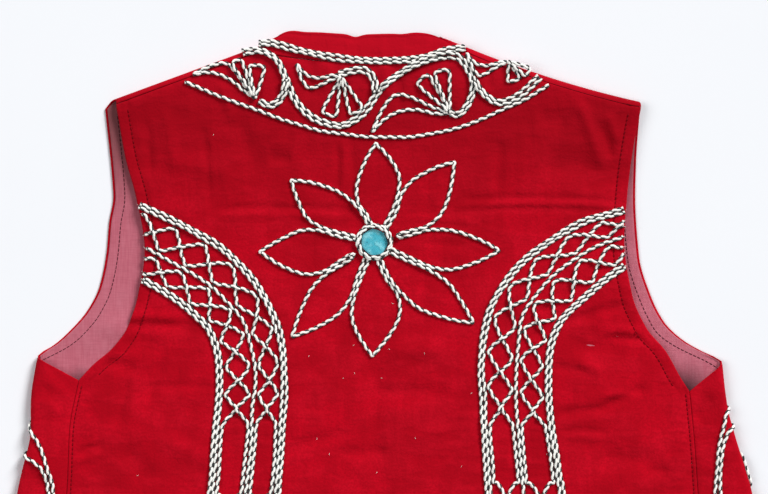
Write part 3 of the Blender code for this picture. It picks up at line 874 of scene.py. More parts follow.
def collar_stations():
    """Stations along the neck seam from the left front edge, up round the back, to the right front edge.

    Each is (across, height, turn round the fold, direction in which the collar stands)."""
    back = []
    for k in range(1, 2 * COLLAR_COLUMNS):
        across = mix(-NECK_HALF_WIDTH[LEFT], NECK_HALF_WIDTH[RIGHT], k / (2 * COLLAR_COLUMNS))
        side = side_of(across)
        share = abs(across) / NECK_HALF_WIDTH[side]
        facing = mix(math.pi / 2, collar_facing(side, math.pi), share ** COLLAR_TURN[side])
        back.append((across, top_edge(across), math.pi, facing))
    return collar_side(LEFT) + back + collar_side(RIGHT)[::-1]


def build_collar(velvet):
    stations = collar_stations()

    def place(i, j, depth):
        across, height, turn, facing = stations[i]
        up = COLLAR_UPS[j]
        risen = up / COLLAR_HEIGHT
        dip = collar_drop(across) if turn == math.pi else 0.0
        up -= dip * risen
        depth += COLLAR_SEAM_DEPTH * swell(COLLAR_UPS[j] - COLLAR_SEAM, COLLAR_SEAM_HALF_WIDTH)
        depth += dip * COLLAR_PUCKER_SINK * risen
        y, z = round_fold(height, FOLD_RADIUS * turn, depth)
        over = ease(turn / math.pi)
        z += mix(under_lift(side_of(across), abs(across), height), 0.0, over)
        z += COLLAR_WAVE * waver(across * COLLAR_CHANGE[0], up * COLLAR_CHANGE[1], turn) * risen * over
        if turn == math.pi:
            z += upper_height(across, height) - FOLD_TOP
            z -= COLLAR_DROP * risen
        up += SEAM_GAP
        return Vector((across + up * math.cos(facing) + lean(y), y + up * math.sin(facing), z))

    return new_sheet("collar_velvet", len(stations) - 1, len(COLLAR_UPS) - 1, place, COLLAR_WALL, velvet)


PATCH_WALL = 0.0012
PATCH_CORNERS = 7
PATCH_CORNER_START = 0.4
PATCH_FLATNESS = 0.050
PATCH_CRUMPLE = 0.00012
PATCH_CHANGE = 260


def build_patch(material):
    """The round patch in the middle of the flower, cut by hand and a little angular."""
    centre = from_above([PATCH_CENTRE.xy])[0]
    disc = bmesh.new()
    bmesh.ops.create_uvsphere(disc, u_segments=56, v_segments=20, radius=1.0)
    for vertex in disc.verts:
        x, y, z = vertex.co
        turn = math.atan2(y, x)
        angular = 1 - PATCH_FLATNESS * abs(math.sin(PATCH_CORNERS / 2 * turn + PATCH_CORNER_START))
        reach = math.sqrt(math.hypot(x, y)) * PATCH_RADIUS * angular
        across = reach * math.cos(turn)
        height = reach * math.sin(turn)
        crumple = PATCH_CRUMPLE * waver(across * PATCH_CHANGE, height * PATCH_CHANGE, 2.0)
        lift = SEAM_GAP + PATCH_WALL / 2 * (1 + z) + crumple
        vertex.co = on_upper_layer(centre.x + across, centre.y + height, -lift)
    return finished("turquoise_disc", disc, [material])


# ---------------------------------------------------------------- couched cords
# A thick white strand and a thin black one, twisted loosely, so that the black shows at each edge in turn
Strand = namedtuple("Strand", "radius aside proud")
WHITE_STRAND = Strand(0.00096, 0.00054, 0.00014)
BLACK_STRAND = Strand(0.00064, 0.00096, 0.00024)
CORD_RADIUS = 0.00150
CORD_PITCH = 0.0068
RINGS_PER_PITCH = 8
CORD_STEP = CORD_PITCH / RINGS_PER_PITCH
CORD_SQUASH = 0.85
CORD_SINK = 0.00030
PAIR_OFFSET = 0.00136
UNDER_CORD_HEIGHT = 0.00136
HAND_WOBBLE = 0.00080
WOBBLE_CHANGE = 45
TINY_STEP = 0.001
FINER = 3
JOIN_SMOOTHING = 2
# A cord rises over those that it crosses, and eases up and down on either side
CROSSING_REACH = 0.0026
CROSSING_RISE = 0.72
HIGHEST_LIFT = 0.0022
LIFT_EASE = 0.0042
LIFT_EASE_STEPS = 5
CELL = 0.004


def spline(a, b, c, d, t):
    """The place at a share t of the way from b to c, on a smooth curve that runs from a to d."""
    bend = (2 * a - 5 * b + 4 * c - d) * t**2
    twist = (3 * b - a - 3 * c + d) * t**3
    return 0.5 * (2 * b + (c - a) * t + bend + twist)


def smooth_path(points, step=CORD_STEP):
    """An even run of points on a smooth curve through the given ones."""
    points = [Vector(p) for p in points]
    ends = [2 * points[0] - points[1], *points, 2 * points[-1] - points[-2]]
    fine = []
    for a, b, c, d in zip(ends, ends[1:], ends[2:], ends[3:]):
        count = max(2, math.ceil((c - b).length / (step / FINER)))
        fine += [spline(a, b, c, d, k / count) for k in range(count)]
    fine.append(points[-1])
    return even_run(fine, step)


def even_run(fine, step=CORD_STEP):
    """Points at even distances along a run of points."""
    lengths = [0.0]
    for a, b in zip(fine, fine[1:]):
        lengths.append(lengths[-1] + (b - a).length)
    count = max(2, round(lengths[-1] / step))
    run = []
    at = 0
    for k in range(count + 1):
        goal = lengths[-1] * k / count
        while at < len(fine) - 2 and lengths[at + 1] < goal:
            at += 1
        span = max(lengths[at + 1] - lengths[at], 1e-9)
        run.append(fine[at].lerp(fine[at + 1], (goal - lengths[at]) / span))
    return run


def joined(*runs):
    """One run of points through several, with the corners between them rounded a little."""
    fine = [p for run in runs for p in run]
    run = even_run(fine)
    for _ in range(JOIN_SMOOTHING):
        inner = [(a + 2 * b + c) / 4 for a, b, c in zip(run, run[1:], run[2:])]
        run = [run[0], *inner, run[-1]]
    return run


def beside(run, offset):
    """The run moved to its left by offset."""
    moved = []
    for k, point in enumerate(run):
        ahead = run[min(k + 1, len(run) - 1)]
        behind = run[max(k - 1, 0)]
        along = (ahead - behind).normalized()
        moved.append(point + Vector((-along.y, along.x)) * offset)
    return even_run(moved)


def from_above(points):
    """Places on the cloth, from where they show on the lying vest."""
    return [Vector((x - lean(y), y)) for x, y in points]


laid_cords = {}


def cell_of(place):
    return tuple(math.floor(part / CELL) for part in place)


def height_over_others(run):
    """How far each point of a cord is lifted by the cords that it crosses."""
    lifts = []
    for place in run:
        lift = 0.0
        cx, cy = cell_of(place)
        for x in (cx - 1, cx, cx + 1):
            for y in (cy - 1, cy, cy + 1):
                for other, other_lift in laid_cords.get((x, y), ()):
                    apart = (other - place).length
                    if apart < CROSSING_REACH:
                        over = CROSSING_RISE * math.sqrt(CROSSING_REACH**2 - apart**2)
                        lift = max(lift, other_lift + over)
        lifts.append(min(lift, HIGHEST_LIFT))
    eased = []
    for k in range(len(run)):
        near = range(max(0, k - LIFT_EASE_STEPS), min(len(run), k + LIFT_EASE_STEPS + 1))
        eased.append(max(lifts[n] * swell((n - k) * CORD_STEP, LIFT_EASE) for n in near))
    return eased


class Strands:
    """The strands, stitches or fibres of one piece, each a thin tube along its own line."""

    def __init__(self, name, white, black):
        self.name = name
        self.curve = bpy.data.curves.new(name, "CURVE")
        self.curve.dimensions = "3D"
        self.curve.bevel_depth = WHITE_STRAND.radius
        self.curve.bevel_resolution = 1
        self.curve.use_fill_caps = True
        self.curve.materials.append(white)
        self.curve.materials.append(black)
        self.count = 0

    def add_line(self, places, material_index, radii):
        """Adds a tube through the places; its radii are shares of the white strand's."""
        tube = self.curve.splines.new("POLY")
        tube.points.add(len(places) - 1)
        tube.material_index = material_index
        for point, place, radius in zip(tube.points, places, radii):
            point.co = (*place, 1.0)
            point.radius = radius

    def add_cord(self, run, start=None):
        """Couches one cord along a run of places on the cloth; its twist begins at an angle, start."""
        self.count += 1
        seed = self.count * 7.3
        wobbled = []
        for k, place in enumerate(run):
            at = k * CORD_STEP
            sway = Vector((waver(at * WOBBLE_CHANGE, seed, 0), waver(at * WOBBLE_CHANGE, seed, 9)))
            wobbled.append(place + sway * HAND_WOBBLE)
        lifts = height_over_others(wobbled)
        spine = []
        for place, lift in zip(wobbled, lifts):
            rise = CORD_RADIUS * CORD_SQUASH - CORD_SINK + lift
            centre = on_vest(place.x, place.y, -rise)
            centre.z = max(centre.z, UNDER_CORD_HEIGHT)
            spine.append((centre, place))
            laid_cords.setdefault(cell_of(place), []).append((place, lift))
        twisted = ((WHITE_STRAND, 0.0, []), (BLACK_STRAND, math.pi, []))
        if start is None:
            start = waver(seed, 1.0, 2.0) * math.pi
        for k, (centre, place) in enumerate(spine):
            ahead = spine[min(k + 1, len(spine) - 1)][0]
            behind = spine[max(k - 1, 0)][0]
            along = (ahead - behind).normalized()
            aside = on_vest(place.x + TINY_STEP, place.y) - on_vest(place.x - TINY_STEP, place.y)
            onward = on_vest(place.x, place.y + TINY_STEP) - on_vest(place.x, place.y - TINY_STEP)
            outward = aside.cross(onward).normalized()
            sideways = along.cross(outward).normalized()
            for strand, lag, line in twisted:
                turn = start + lag - math.tau * k / RINGS_PER_PITCH
                to_side = sideways * strand.aside * math.cos(turn)
                upwards = outward * strand.proud * math.sin(turn)
                line.append(centre + to_side + upwards)
        for index, (strand, _, line) in enumerate(twisted):
            self.add_line(line, index, [strand.radius / WHITE_STRAND.radius] * len(line))

    def add_pair(self, run):
        """Two cords side by side, whose black shows in turn between them."""
        self.add_cord(beside(run, PAIR_OFFSET), 0.0)
        self.add_cord(beside(run, -PAIR_OFFSET), 0.0)

    def finish(self):
        """The strands as one closed mesh."""
        tubes = bpy.data.objects.new(self.name + "_lines", self.curve)
        bpy.context.scene.collection.objects.link(tubes)
        graph = bpy.context.evaluated_depsgraph_get()
        mesh = bpy.data.meshes.new_from_object(tubes.evaluated_get(graph))
        bpy.data.objects.remove(tubes)
        joined_up = bmesh.new()
        joined_up.from_mesh(mesh)
        bpy.data.meshes.remove(mesh)
        bmesh.ops.remove_doubles(joined_up, verts=joined_up.verts, dist=1e-6)
        return finished(self.name, joined_up, self.curve.materials[:])


# ---------------------------------------------------------------- the band on each side of the back
# Three rails run from the armhole to the hem, and pairs of cords weave between them. Each row of places lies
# on one line across the band, where the weaving cords of a lane cross; the two last rows are plain.
BandRow = namedtuple("BandRow", "inner middle outer")
BANDS = {
    LEFT: (
        BandRow((-0.183, 0.147), (-0.196, 0.124), (-0.206, 0.105)),
        BandRow((-0.160, 0.137), (-0.173, 0.114), (-0.184, 0.095)),
        BandRow((-0.138, 0.126), (-0.155, 0.104), (-0.167, 0.087)),
        BandRow((-0.117, 0.113), (-0.135, 0.093), (-0.150, 0.077)),
        BandRow((-0.097, 0.093), (-0.117, 0.079), (-0.136, 0.065)),
        BandRow((-0.081, 0.068), (-0.102, 0.061), (-0.126, 0.054)),
        BandRow((-0.074, 0.045), (-0.096, 0.041), (-0.120, 0.037)),
        BandRow((-0.072, 0.019), (-0.093, 0.018), (-0.119, 0.018)),
        BandRow((-0.073, -0.001), (-0.095, -0.001), (-0.120, -0.001)),
        BandRow((-0.074, -0.020), (-0.096, -0.020), (-0.122, -0.020)),
        BandRow((-0.077, -0.060), (-0.100, -0.060), (-0.125, -0.060)),
        BandRow((-0.078, -0.074), (-0.101, -0.074), (-0.126, -0.074)),
        BandRow((-0.082, -0.165), (-0.106, -0.164), (-0.132, -0.163)),
        BandRow((-0.088, -0.266), (-0.113, -0.265), (-0.140, -0.263)),
    ),
    RIGHT: (
        BandRow((0.188, 0.145), (0.192, 0.129), (0.198, 0.117)),
        BandRow((0.166, 0.139), (0.172, 0.122), (0.178, 0.104)),
        BandRow((0.144, 0.133), (0.151, 0.114), (0.159, 0.091)),
        BandRow((0.118, 0.118), (0.129, 0.100), (0.145, 0.079)),
        BandRow((0.096, 0.100), (0.112, 0.084), (0.131, 0.066)),
        BandRow((0.080, 0.078), (0.100, 0.066), (0.123, 0.053)),
        BandRow((0.072, 0.053), (0.096, 0.045), (0.119, 0.037)),
        BandRow((0.070, 0.028), (0.095, 0.022), (0.118, 0.016)),
        BandRow((0.071, 0.001), (0.095, -0.001), (0.119, -0.004)),
        BandRow((0.072, -0.020), (0.096, -0.020), (0.121, -0.020)),
        BandRow((0.074, -0.053), (0.099, -0.053), (0.126, -0.053)),
        BandRow((0.075, -0.066), (0.100, -0.066), (0.128, -0.066)),
        BandRow((0.081, -0.165), (0.106, -0.164), (0.136, -0.163)),
        BandRow((0.088, -0.266), (0.114, -0.265), (0.145, -0.263)),
    ),
}
LAST_CROSSING = 8
OVAL_START = 8.85
OVAL_END = 10.0
OVAL_CLOSE = 11
PAIR_CLEARANCE = 0.0043
SINGLE_CLEARANCE = 0.0030
ARMHOLE_CORD_END = 0.0008
SHOULDER_CORD_END = 0.0018
# The swing of a weaving cord, from side to side of its lane, and the oval that ends it
WEAVE_STEPS = 24
WEAVE_STRAIGHT = 0.72
WEAVE_ROUND = 0.30
WEAVE_BLUNT = 0.985
OVAL_SHOULDER = 0.8
OVAL_ROUND = 0.7


def rail_place(points, at):
    """The place on a rail at a row, or at a part of the way to the next."""
    k = min(int(at), len(points) - 2)
    b = Vector(points[k])
    c = Vector(points[k + 1])
    a = Vector(points[k - 1]) if k > 0 else 2 * b - c
    d = Vector(points[k + 2]) if k + 2 < len(points) else 2 * c - b
    return spline(a, b, c, d, at - k)


def weave_swing(at):
    """How far from its lane's middle a weaving cord is: about 1 or -1 beside a rail, 0 where it crosses."""
    if at <= LAST_CROSSING:
        wave = math.sin(at * math.pi)
        return WEAVE_STRAIGHT * math.asin(WEAVE_BLUNT * wave) / (math.pi / 2) + WEAVE_ROUND * wave
    if at < OVAL_START:
        return ease((at - LAST_CROSSING) / (OVAL_START - LAST_CROSSING)) ** OVAL_SHOULDER
    if at < OVAL_END:
        return 1.0
    return (1 - ((at - OVAL_END) / (OVAL_CLOSE - OVAL_END)) ** 2) ** OVAL_ROUND


def weaving_cord(rails, clearances, way):
    """A cord that weaves down one lane, between two rails."""
    fine = []
    steps = OVAL_CLOSE * WEAVE_STEPS
    for k in range(steps + 1):
        at = OVAL_CLOSE * k / steps
        first = rail_place(rails[0], at)
        second = rail_place(rails[1], at)
        across = (second - first).normalized()
        low = first + across * clearances[0]
        high = second - across * clearances[1]
        fine.append(low.lerp(high, 0.5 + 0.5 * way * weave_swing(at)))
    return fine


def on_back_panel(place):
    """Whether a cord there is clear of the armhole's edge, and of the shoulder and neck seams."""
    side = side_of(place.x)
    if place.y > UNDERARM[side] and abs(place.x) > back_armhole[side](place.y) - ARMHOLE_CORD_END:
        return False
    return place.y < top_edge(place.x) - SHOULDER_CORD_END


def trimmed(run):
    """The part of a run that lies on the back panel."""
    inside = [on_back_panel(place) for place in run]
    start = inside.index(True)
    end = len(run) - inside[::-1].index(True)
    return even_run(run[start:end])


def band_runs(side):
    """The runs of one band: its paired rails, its single rail, and the cords that weave in its two lanes."""
    rows = [BandRow(*(from_above([place])[0] for place in row)) for row in BANDS[side]]
    rails = [[row[k] for row in rows] for k in range(3)]
    smooth = [trimmed(smooth_path(rail)) for rail in rails]
    lanes = (
        ((rails[0], rails[1]), (PAIR_CLEARANCE, SINGLE_CLEARANCE)),
        ((rails[1], rails[2]), (SINGLE_CLEARANCE, PAIR_CLEARANCE)),
    )
    weaves = []
    for pair, clearances in lanes:
        for way in (1, -1):
            weaves.append(trimmed(even_run(weaving_cord(pair, clearances, way))))
    return smooth, weaves


def build_band(hand, side, white, black):
    strands = Strands(f"band_cords_{hand}", white, black)
    (inner, middle, outer), weaves = band_runs(side)
    strands.add_pair(inner)
    strands.add_pair(outer)
    strands.add_cord(middle)
    for run in weaves:
        strands.add_cord(run)
    for run in (inner, middle, outer, *weaves):
        fray(strands, run)
    return strands.finish()


# The fibres at a cut end: how many, how far they spread and reach, and how they rise and thin out
FRAY_FIBRES = 4
FRAY_SPREAD = 0.9
FRAY_LENGTH = 0.0022
FRAY_LONGER = 0.0016
FRAY_ROOT = 0.001
FRAY_LIFTS = (1.1, 0.25)
FRAY_SPLAY = 0.0004
FRAY_RADII = (0.23, 0.17, 0.12, 0.06)


def fray(strands, run):
    """The loose fibres at the cut end of a cord."""
    strands.count += 1
    start = run[0]
    away = (run[0] - run[2]).normalized()
    for k in range(FRAY_FIBRES):
        turn = FRAY_SPREAD * waver(strands.count * 3.7, k * 5.1, 4.0)
        length = FRAY_LENGTH + FRAY_LONGER * abs(waver(strands.count * 1.9, k * 2.3, 8.0))
        heading = Vector((away.x - turn * away.y, away.y + turn * away.x)).normalized()
        places = []
        for n in range(len(FRAY_RADII)):
            share = n / (len(FRAY_RADII) - 1)
            place = start - away * FRAY_ROOT + heading * length * share
            lift = CORD_RADIUS * mix(*FRAY_LIFTS, share) + FRAY_SPLAY * k * share
            places.append(on_vest(place.x, place.y, -lift))
        strands.add_line(places, k % 2, FRAY_RADII)


# ---------------------------------------------------------------- the flower
# Turns are in degrees, counterclockwise from the wearer's right. Each petal shares a double stem with the
# next, and a looped stem starts farther out, at a small loop of cord.
Petal = namedtuple("Petal", "turn length stem_start_turn stem_turn stem_length looped")
PETALS = (
    Petal(-4, 0.0905, 14, 15, 0.0415, True),
    Petal(45, 0.0820, 51, 63, 0.0420, False),
    Petal(89, 0.0715, 105, 116, 0.0315, False),
    Petal(143, 0.0750, 169, 166, 0.0415, False),
    Petal(185, 0.0835, 212, 212, 0.0440, True),
    Petal(229, 0.0905, 246, 249, 0.0460, False),
    Petal(269, 0.0825, 285, 297, 0.0440, False),
    Petal(321, 0.0920, 332, 335, 0.0470, False),
)
STEM_START = 0.0124
LOOP_START = 0.0185
LOOP_TAIL = 0.0022
LOOP_DEPTH = 0.0016
STEM_SHARES = (0.0, 0.5, 0.92)
PETAL_SHAPE = ((0.30, 0.93), (0.66, 0.56))
RING_STEP = 12
RING_RADII = (0.0123, 0.0112)


def toward(turn, distance, aside=0.0):
    """A step in the direction of turn, in degrees, and aside to its left."""
    angle = math.radians(turn)
    x = distance * math.cos(angle) - aside * math.sin(angle)
    y = distance * math.sin(angle) + aside * math.cos(angle)
    return Vector((x, y))


def petal_edge(petal, stem, way):
    """One edge of a petal, from its stem to its tip; way is 1 on its counterclockwise side."""
    start = LOOP_START if stem.looped else STEM_START
    aside = -way * PAIR_OFFSET
    gap = math.radians(stem.stem_turn - petal.turn)
    reach = stem.stem_length * math.cos(gap)
    half_width = stem.stem_length * math.sin(gap)
    points = []
    for share in STEM_SHARES:
        turn = mix(stem.stem_start_turn, stem.stem_turn, share)
        points.append(toward(turn, mix(start, stem.stem_length, share), aside))
    for share, width in PETAL_SHAPE:
        points.append(toward(petal.turn, mix(reach, petal.length, share), width * half_width))
    points.append(toward(petal.turn, petal.length))
    return points


def build_flower(white, black):
    strands = Strands("flower_cords", white, black)
    centre = Vector((PATCH_CENTRE.x, PATCH_CENTRE.y))

    def laid(steps):
        return smooth_path(from_above([centre + step for step in steps]))

    for k, petal in enumerate(PETALS):
        first = petal_edge(petal, PETALS[k - 1], -1)
        second = petal_edge(petal, petal, 1)
        strands.add_cord(joined(laid(first), laid(second[::-1])))
        if petal.looped:
            first_end = toward(petal.stem_start_turn, LOOP_START + LOOP_TAIL, -PAIR_OFFSET)
            tip = toward(petal.stem_start_turn, LOOP_START - LOOP_DEPTH)
            second_end = toward(petal.stem_start_turn, LOOP_START + LOOP_TAIL, PAIR_OFFSET)
            strands.add_cord(laid([first_end, tip, second_end]))
    for radius in RING_RADII:
        strands.add_cord(even_run(laid([toward(turn, radius) for turn in range(0, 361, RING_STEP)])))
    return strands.finish()


# ---------------------------------------------------------------- the crescent below the neck
NECK_PAIR = (
    (-0.0905, 0.2607), (-0.0817, 0.2612), (-0.0731, 0.2594), (-0.0608, 0.2558), (-0.0392, 0.2514),
    (-0.0169, 0.2486), (0.0054, 0.2484), (0.0270, 0.2505), (0.0421, 0.2556), (0.0508, 0.2572),
    (0.0580, 0.2578),
)
CRESCENT = (
    (-0.147, 0.2345), (-0.100, 0.2160), (-0.050, 0.1995), (-0.003, 0.1935), (0.046, 0.1985),
    (0.094, 0.2175), (0.126, 0.2360),
)
VINE = (
    (-0.1025, 0.2545), (-0.0890, 0.2556), (-0.0775, 0.2490), (-0.0715, 0.2365), (-0.0665, 0.2240),
    (-0.0590, 0.2140), (-0.0480, 0.2060), (-0.0330, 0.2020), (-0.0220, 0.2060), (-0.0130, 0.2140),
    (-0.0030, 0.2280), (0.0100, 0.2385), (0.0250, 0.2470), (0.0400, 0.2520), (0.0520, 0.2515),
    (0.0590, 0.2440), (0.0635, 0.2330), (0.0615, 0.2205), (0.0545, 0.2105), (0.0475, 0.2110),
)
VINE_SHOOTS = (
    ((-0.0712, 0.2350), (-0.0722, 0.2265), (-0.0765, 0.2195), (-0.0830, 0.2165), (-0.0900, 0.2195)),
    ((-0.0060, 0.2260), (-0.0080, 0.2360), (-0.0140, 0.2415), (-0.0220, 0.2415), (-0.0325, 0.2390)),
    (
        (0.0640, 0.2350), (0.0700, 0.2265), (0.0790, 0.2195), (0.0865, 0.2190), (0.0975, 0.2245),
        (0.1120, 0.2365),
    ),
)
# A leaf's bulge is a share of its length, and a petal's is half its width
Leaf = namedtuple("Leaf", "turn length bulge")
Palmette = namedtuple("Palmette", "x y leaf petals")
PALMETTES = (
    Palmette(
        -0.0932, 0.2218, Leaf(160, 0.0480, -0.33),
        petals=(Leaf(117, 0.0300, 0.0034), Leaf(86, 0.0235, 0.0054)),
    ),
    Palmette(
        -0.0315, 0.2370, Leaf(163, 0.0330, 0.42),
        petals=(Leaf(252, 0.0290, 0.0052), Leaf(295, 0.0280, 0.0046)),
    ),
    Palmette(
        0.0470, 0.2110, Leaf(194, 0.0580, -0.38),
        petals=(Leaf(128, 0.0320, 0.0052), Leaf(101, 0.0310, 0.0052)),
    ),
    Palmette(
        0.0889, 0.2477, Leaf(168, 0.0310, 0.44),
        petals=(Leaf(286, 0.0140, 0.0044), Leaf(333, 0.0165, 0.0032)),
    ),
)


# Shapes of the leaf's two edges and of half a petal: (share of the length, share of the bulge)
LEAF_EDGES = (
    ((0.0, 0.0), (0.20, 0.36), (0.42, 0.80), (0.60, 1.0), (0.80, 0.66), (1.0, 0.0)),
    ((1.0, 0.0), (0.80, 0.34), (0.60, 0.45), (0.38, 0.36), (0.18, 0.10), (0.0, 0.0)),
)
PETAL_EDGE = ((0.0, 0.0), (0.40, 0.48), (0.74, 0.86), (0.95, 1.0), (1.0, 0.45))


def leaf_run(base, leaf):
    """A hooked leaf: both of its edges bulge the same way, and meet in a point."""
    edges = []
    for edge in LEAF_EDGES:
        steps = [toward(leaf.turn, x * leaf.length, y * leaf.bulge * leaf.length) for x, y in edge]
        edges.append(smooth_path(from_above([base + step for step in steps])))
    return joined(*edges)


def petal_run(base, leaf):
    """A small petal: a loop from its base, widest at its blunt end."""
    shape = [*PETAL_EDGE, *((x, -y) for x, y in reversed(PETAL_EDGE))]
    steps = [toward(leaf.turn, x * leaf.length, y * leaf.bulge) for x, y in shape]
    return joined(smooth_path(from_above([base + step for step in steps])))


def build_neck(white, black):
    strands = Strands("neck_cords", white, black)
    strands.add_pair(smooth_path(from_above(NECK_PAIR)))
    strands.add_cord(trimmed(smooth_path(from_above(CRESCENT))))
    strands.add_pair(smooth_path(from_above(VINE)))
    for shoot in VINE_SHOOTS:
        strands.add_pair(smooth_path(from_above(shoot)))
    for palmette in PALMETTES:
        base = Vector((palmette.x, palmette.y))
        strands.add_cord(leaf_run(base, palmette.leaf))
        for petal in palmette.petals:
            strands.add_cord(petal_run(base, petal))
    return strands.finish()


# ---------------------------------------------------------------- the fronts' cords
# They come round the side folds, so their places are unrolled, (across, height), and some end underneath
FRONT_CORDS = {
    LEFT: (
        ((-0.300, 0.010), (-0.278, 0.002), (-0.2640, -0.008), (-0.2560, -0.016), (-0.2475, -0.030),
         (-0.2425, -0.046), (-0.2390, -0.064), (-0.2400, -0.110), (-0.2480, -0.180), (-0.2600, -0.255)),
        ((-0.305, -0.020), (-0.280, -0.027), (-0.2660, -0.032), (-0.2590, -0.036), (-0.2510, -0.041),
         (-0.2458, -0.048), (-0.2421, -0.065), (-0.2431, -0.110), (-0.2511, -0.180), (-0.2631, -0.255)),
    ),
    RIGHT: (
        ((0.300, 0.016), (0.275, 0.006), (0.2590, 0.000), (0.2487, -0.004), (0.2455, -0.014),
         (0.2420, -0.027), (0.2396, -0.042), (0.2385, -0.063), (0.2395, -0.110), (0.2480, -0.180),
         (0.2600, -0.255)),
        ((0.305, -0.008), (0.280, -0.012), (0.2620, -0.013), (0.2510, -0.016), (0.2458, -0.024),
         (0.2430, -0.036), (0.2417, -0.062), (0.2426, -0.110), (0.2511, -0.180), (0.2631, -0.255)),
        ((0.300, -0.022), (0.278, -0.027), (0.2645, -0.033), (0.2612, -0.040), (0.2640, -0.051),
         (0.2705, -0.059), (0.282, -0.065), (0.300, -0.069)),
    ),
}


def under_cord_tree():
    """The places of the cords that lie under the fronts, by girth, for the cloth that they hold up."""
    places = []
    for side, routes in FRONT_CORDS.items():
        for route in routes:
            for place in smooth_path(route):
                fold_start = fold_half_width[side](place.y) - FOLD_RADIUS
                girth = 2 * fold_start + FOLD_ARC - abs(place.x)
                if girth < fold_start:
                    places.append((side * girth, place.y, 0.0))
    tree = kdtree.KDTree(len(places))
    for k, place in enumerate(places):
        tree.insert(place, k)
    tree.balance()
    return tree


def build_front_cords(hand, side, white, black):
    strands = Strands(f"front_cords_{hand}", white, black)
    for route in FRONT_CORDS[side]:
        strands.add_cord(smooth_path(route))
    return strands.finish()


# ---------------------------------------------------------------- stitches and lint
STITCH = 0.0024
STITCH_GAP = 0.0008
THREAD = 0.28
PITCH_STEPS = 4
STITCH_STEPS = 3
STITCH_END = -0.0001
STITCH_CROWN = 0.00018
LINING_STITCH = 0.0086
LINING_STITCH_ENDS = 0.004
LINING_STEPS = 120
LINING_SLOPE_RUN = 0.002
LINING_MOST_SLANT = 1.5
LINING_SMOOTHING = 4
VELVET_STEPS = 60
ARMHOLE_STITCH_START = 0.004
TIP_GAP = 0.003
HEM_GAP = 0.006
SEAM_STITCH_STOP = 0.002
VELVET_STITCH_LIFT = 0.0002


def add_stitches(strands, run, on_cloth):
    """A line of running stitches; on_cloth gives the point of the cloth at a place, lifted by so much."""
    pitch = STITCH + STITCH_GAP
    places = even_run(run, pitch / PITCH_STEPS)
    for k in range(0, len(places) - STITCH_STEPS, PITCH_STEPS):
        start = places[k]
        end = places[k + STITCH_STEPS]
        lifted = ((start, STITCH_END), (start.lerp(end, 0.5), STITCH_CROWN), (end, STITCH_END))
        strands.add_line([on_cloth(place, lift) for place, lift in lifted], 0, [THREAD] * len(lifted))


def build_lining_stitches(thread):
    strands = Strands("lining_stitches", thread, thread)
    for side in (LEFT, RIGHT):
        low = UNDERARM[side] + LINING_STITCH_ENDS
        high = tip_height(front_armhole, side) + LINING_STITCH_ENDS
        run = []
        for k in range(LINING_STEPS + 1):
            height = mix(low, high, k / LINING_STEPS)
            above = front_side_edge(side, height + LINING_SLOPE_RUN)
            below = front_side_edge(side, height - LINING_SLOPE_RUN)
            slant = min(math.hypot(1, (above - below) / (2 * LINING_SLOPE_RUN)), LINING_MOST_SLANT)
            run.append(Vector((front_side_edge(side, height) - LINING_STITCH * slant, height)))
        for _ in range(LINING_SMOOTHING):
            smoothed = [(a + b + c) / 3 for a, b, c in zip(run, run[1:], run[2:])]
            run = [run[0], *smoothed, run[-1]]

        def on_cloth(place, lift):
            return on_front(side, place.x, place.y, LINING_DEPTH + LINING + lift)

        add_stitches(strands, run, on_cloth)
    return strands.finish()


def build_velvet_stitches(thread):
    strands = Strands("velvet_stitches", thread, thread)

    def on_cloth(place, lift):
        return on_vest(place.x, place.y, VELVET_STITCH_LIFT - lift)

    for side in (LEFT, RIGHT):
        tip = tip_height(back_armhole, side)
        spans = (
            (UNDERARM[side] + ARMHOLE_STITCH_START, tip - TIP_GAP, ARMHOLE_STITCH),
            (HEM_SIDE + HEM_GAP, UNDERARM[side] - SEAM_STITCH_STOP, SEAM_STITCH),
        )
        for low, high, inset in spans:
            run = []
            for k in range(VELVET_STEPS + 1):
                height = mix(low, high, k / VELVET_STEPS)
                across = back_side_edge(side, height) - inset * edge_slant(side, height)
                run.append(Vector((side * across, height)))
            add_stitches(strands, run, on_cloth)
    return strands.finish()


LINT_SPECKS = 22
LINT_MIDDLE = 0.02
LINT_ACROSS = 0.36
LINT_UP = 0.34
LINT_LENGTH = 0.0012
LINT_LIFT = 0.0002
LINT_RADII = (0.08, 0.11, 0.08)


def build_lint(fibre):
    """A few specks of lint on the back."""
    strands = Strands("lint", fibre, fibre)
    for k in range(LINT_SPECKS):
        speck = k * 11.3
        across = LINT_ACROSS * waver(speck, 3.0, 1.0)
        height = LINT_MIDDLE + LINT_UP * waver(speck, 8.0, 1.0)
        turn = 360 * waver(speck, 3.0, 8.0)
        length = LINT_LENGTH * (1 + abs(waver(speck, 12.0, 4.0)))
        start = Vector((across, height))
        middle = start + toward(turn, length / 2, length / 5)
        end = start + toward(turn, length)
        places = [on_vest(place.x, place.y, -LINT_LIFT) for place in (start, middle, end)]
        strands.add_line(places, 0, LINT_RADII)
    return strands.finish()


# ---------------------------------------------------------------- finishes
def new_group(name, inputs, outputs):
    """A shader group and the two ends of its wiring."""
    group = bpy.data.node_groups.new(name, "ShaderNodeTree")
    for label, value in inputs:
        socket = group.interface.new_socket(label, in_out="INPUT", socket_type="NodeSocketFloat")
        socket.default_value = value
    for label in outputs:
        group.interface.new_socket(label, in_out="OUTPUT", socket_type="NodeSocketFloat")
    return group, group.nodes.new("NodeGroupInput"), group.nodes.new("NodeGroupOutput")


def new_node(tree, kind, **settings):
    node = tree.nodes.new("ShaderNode" + kind)
    for name, value in settings.items():
        setattr(node, name, value)
    return node


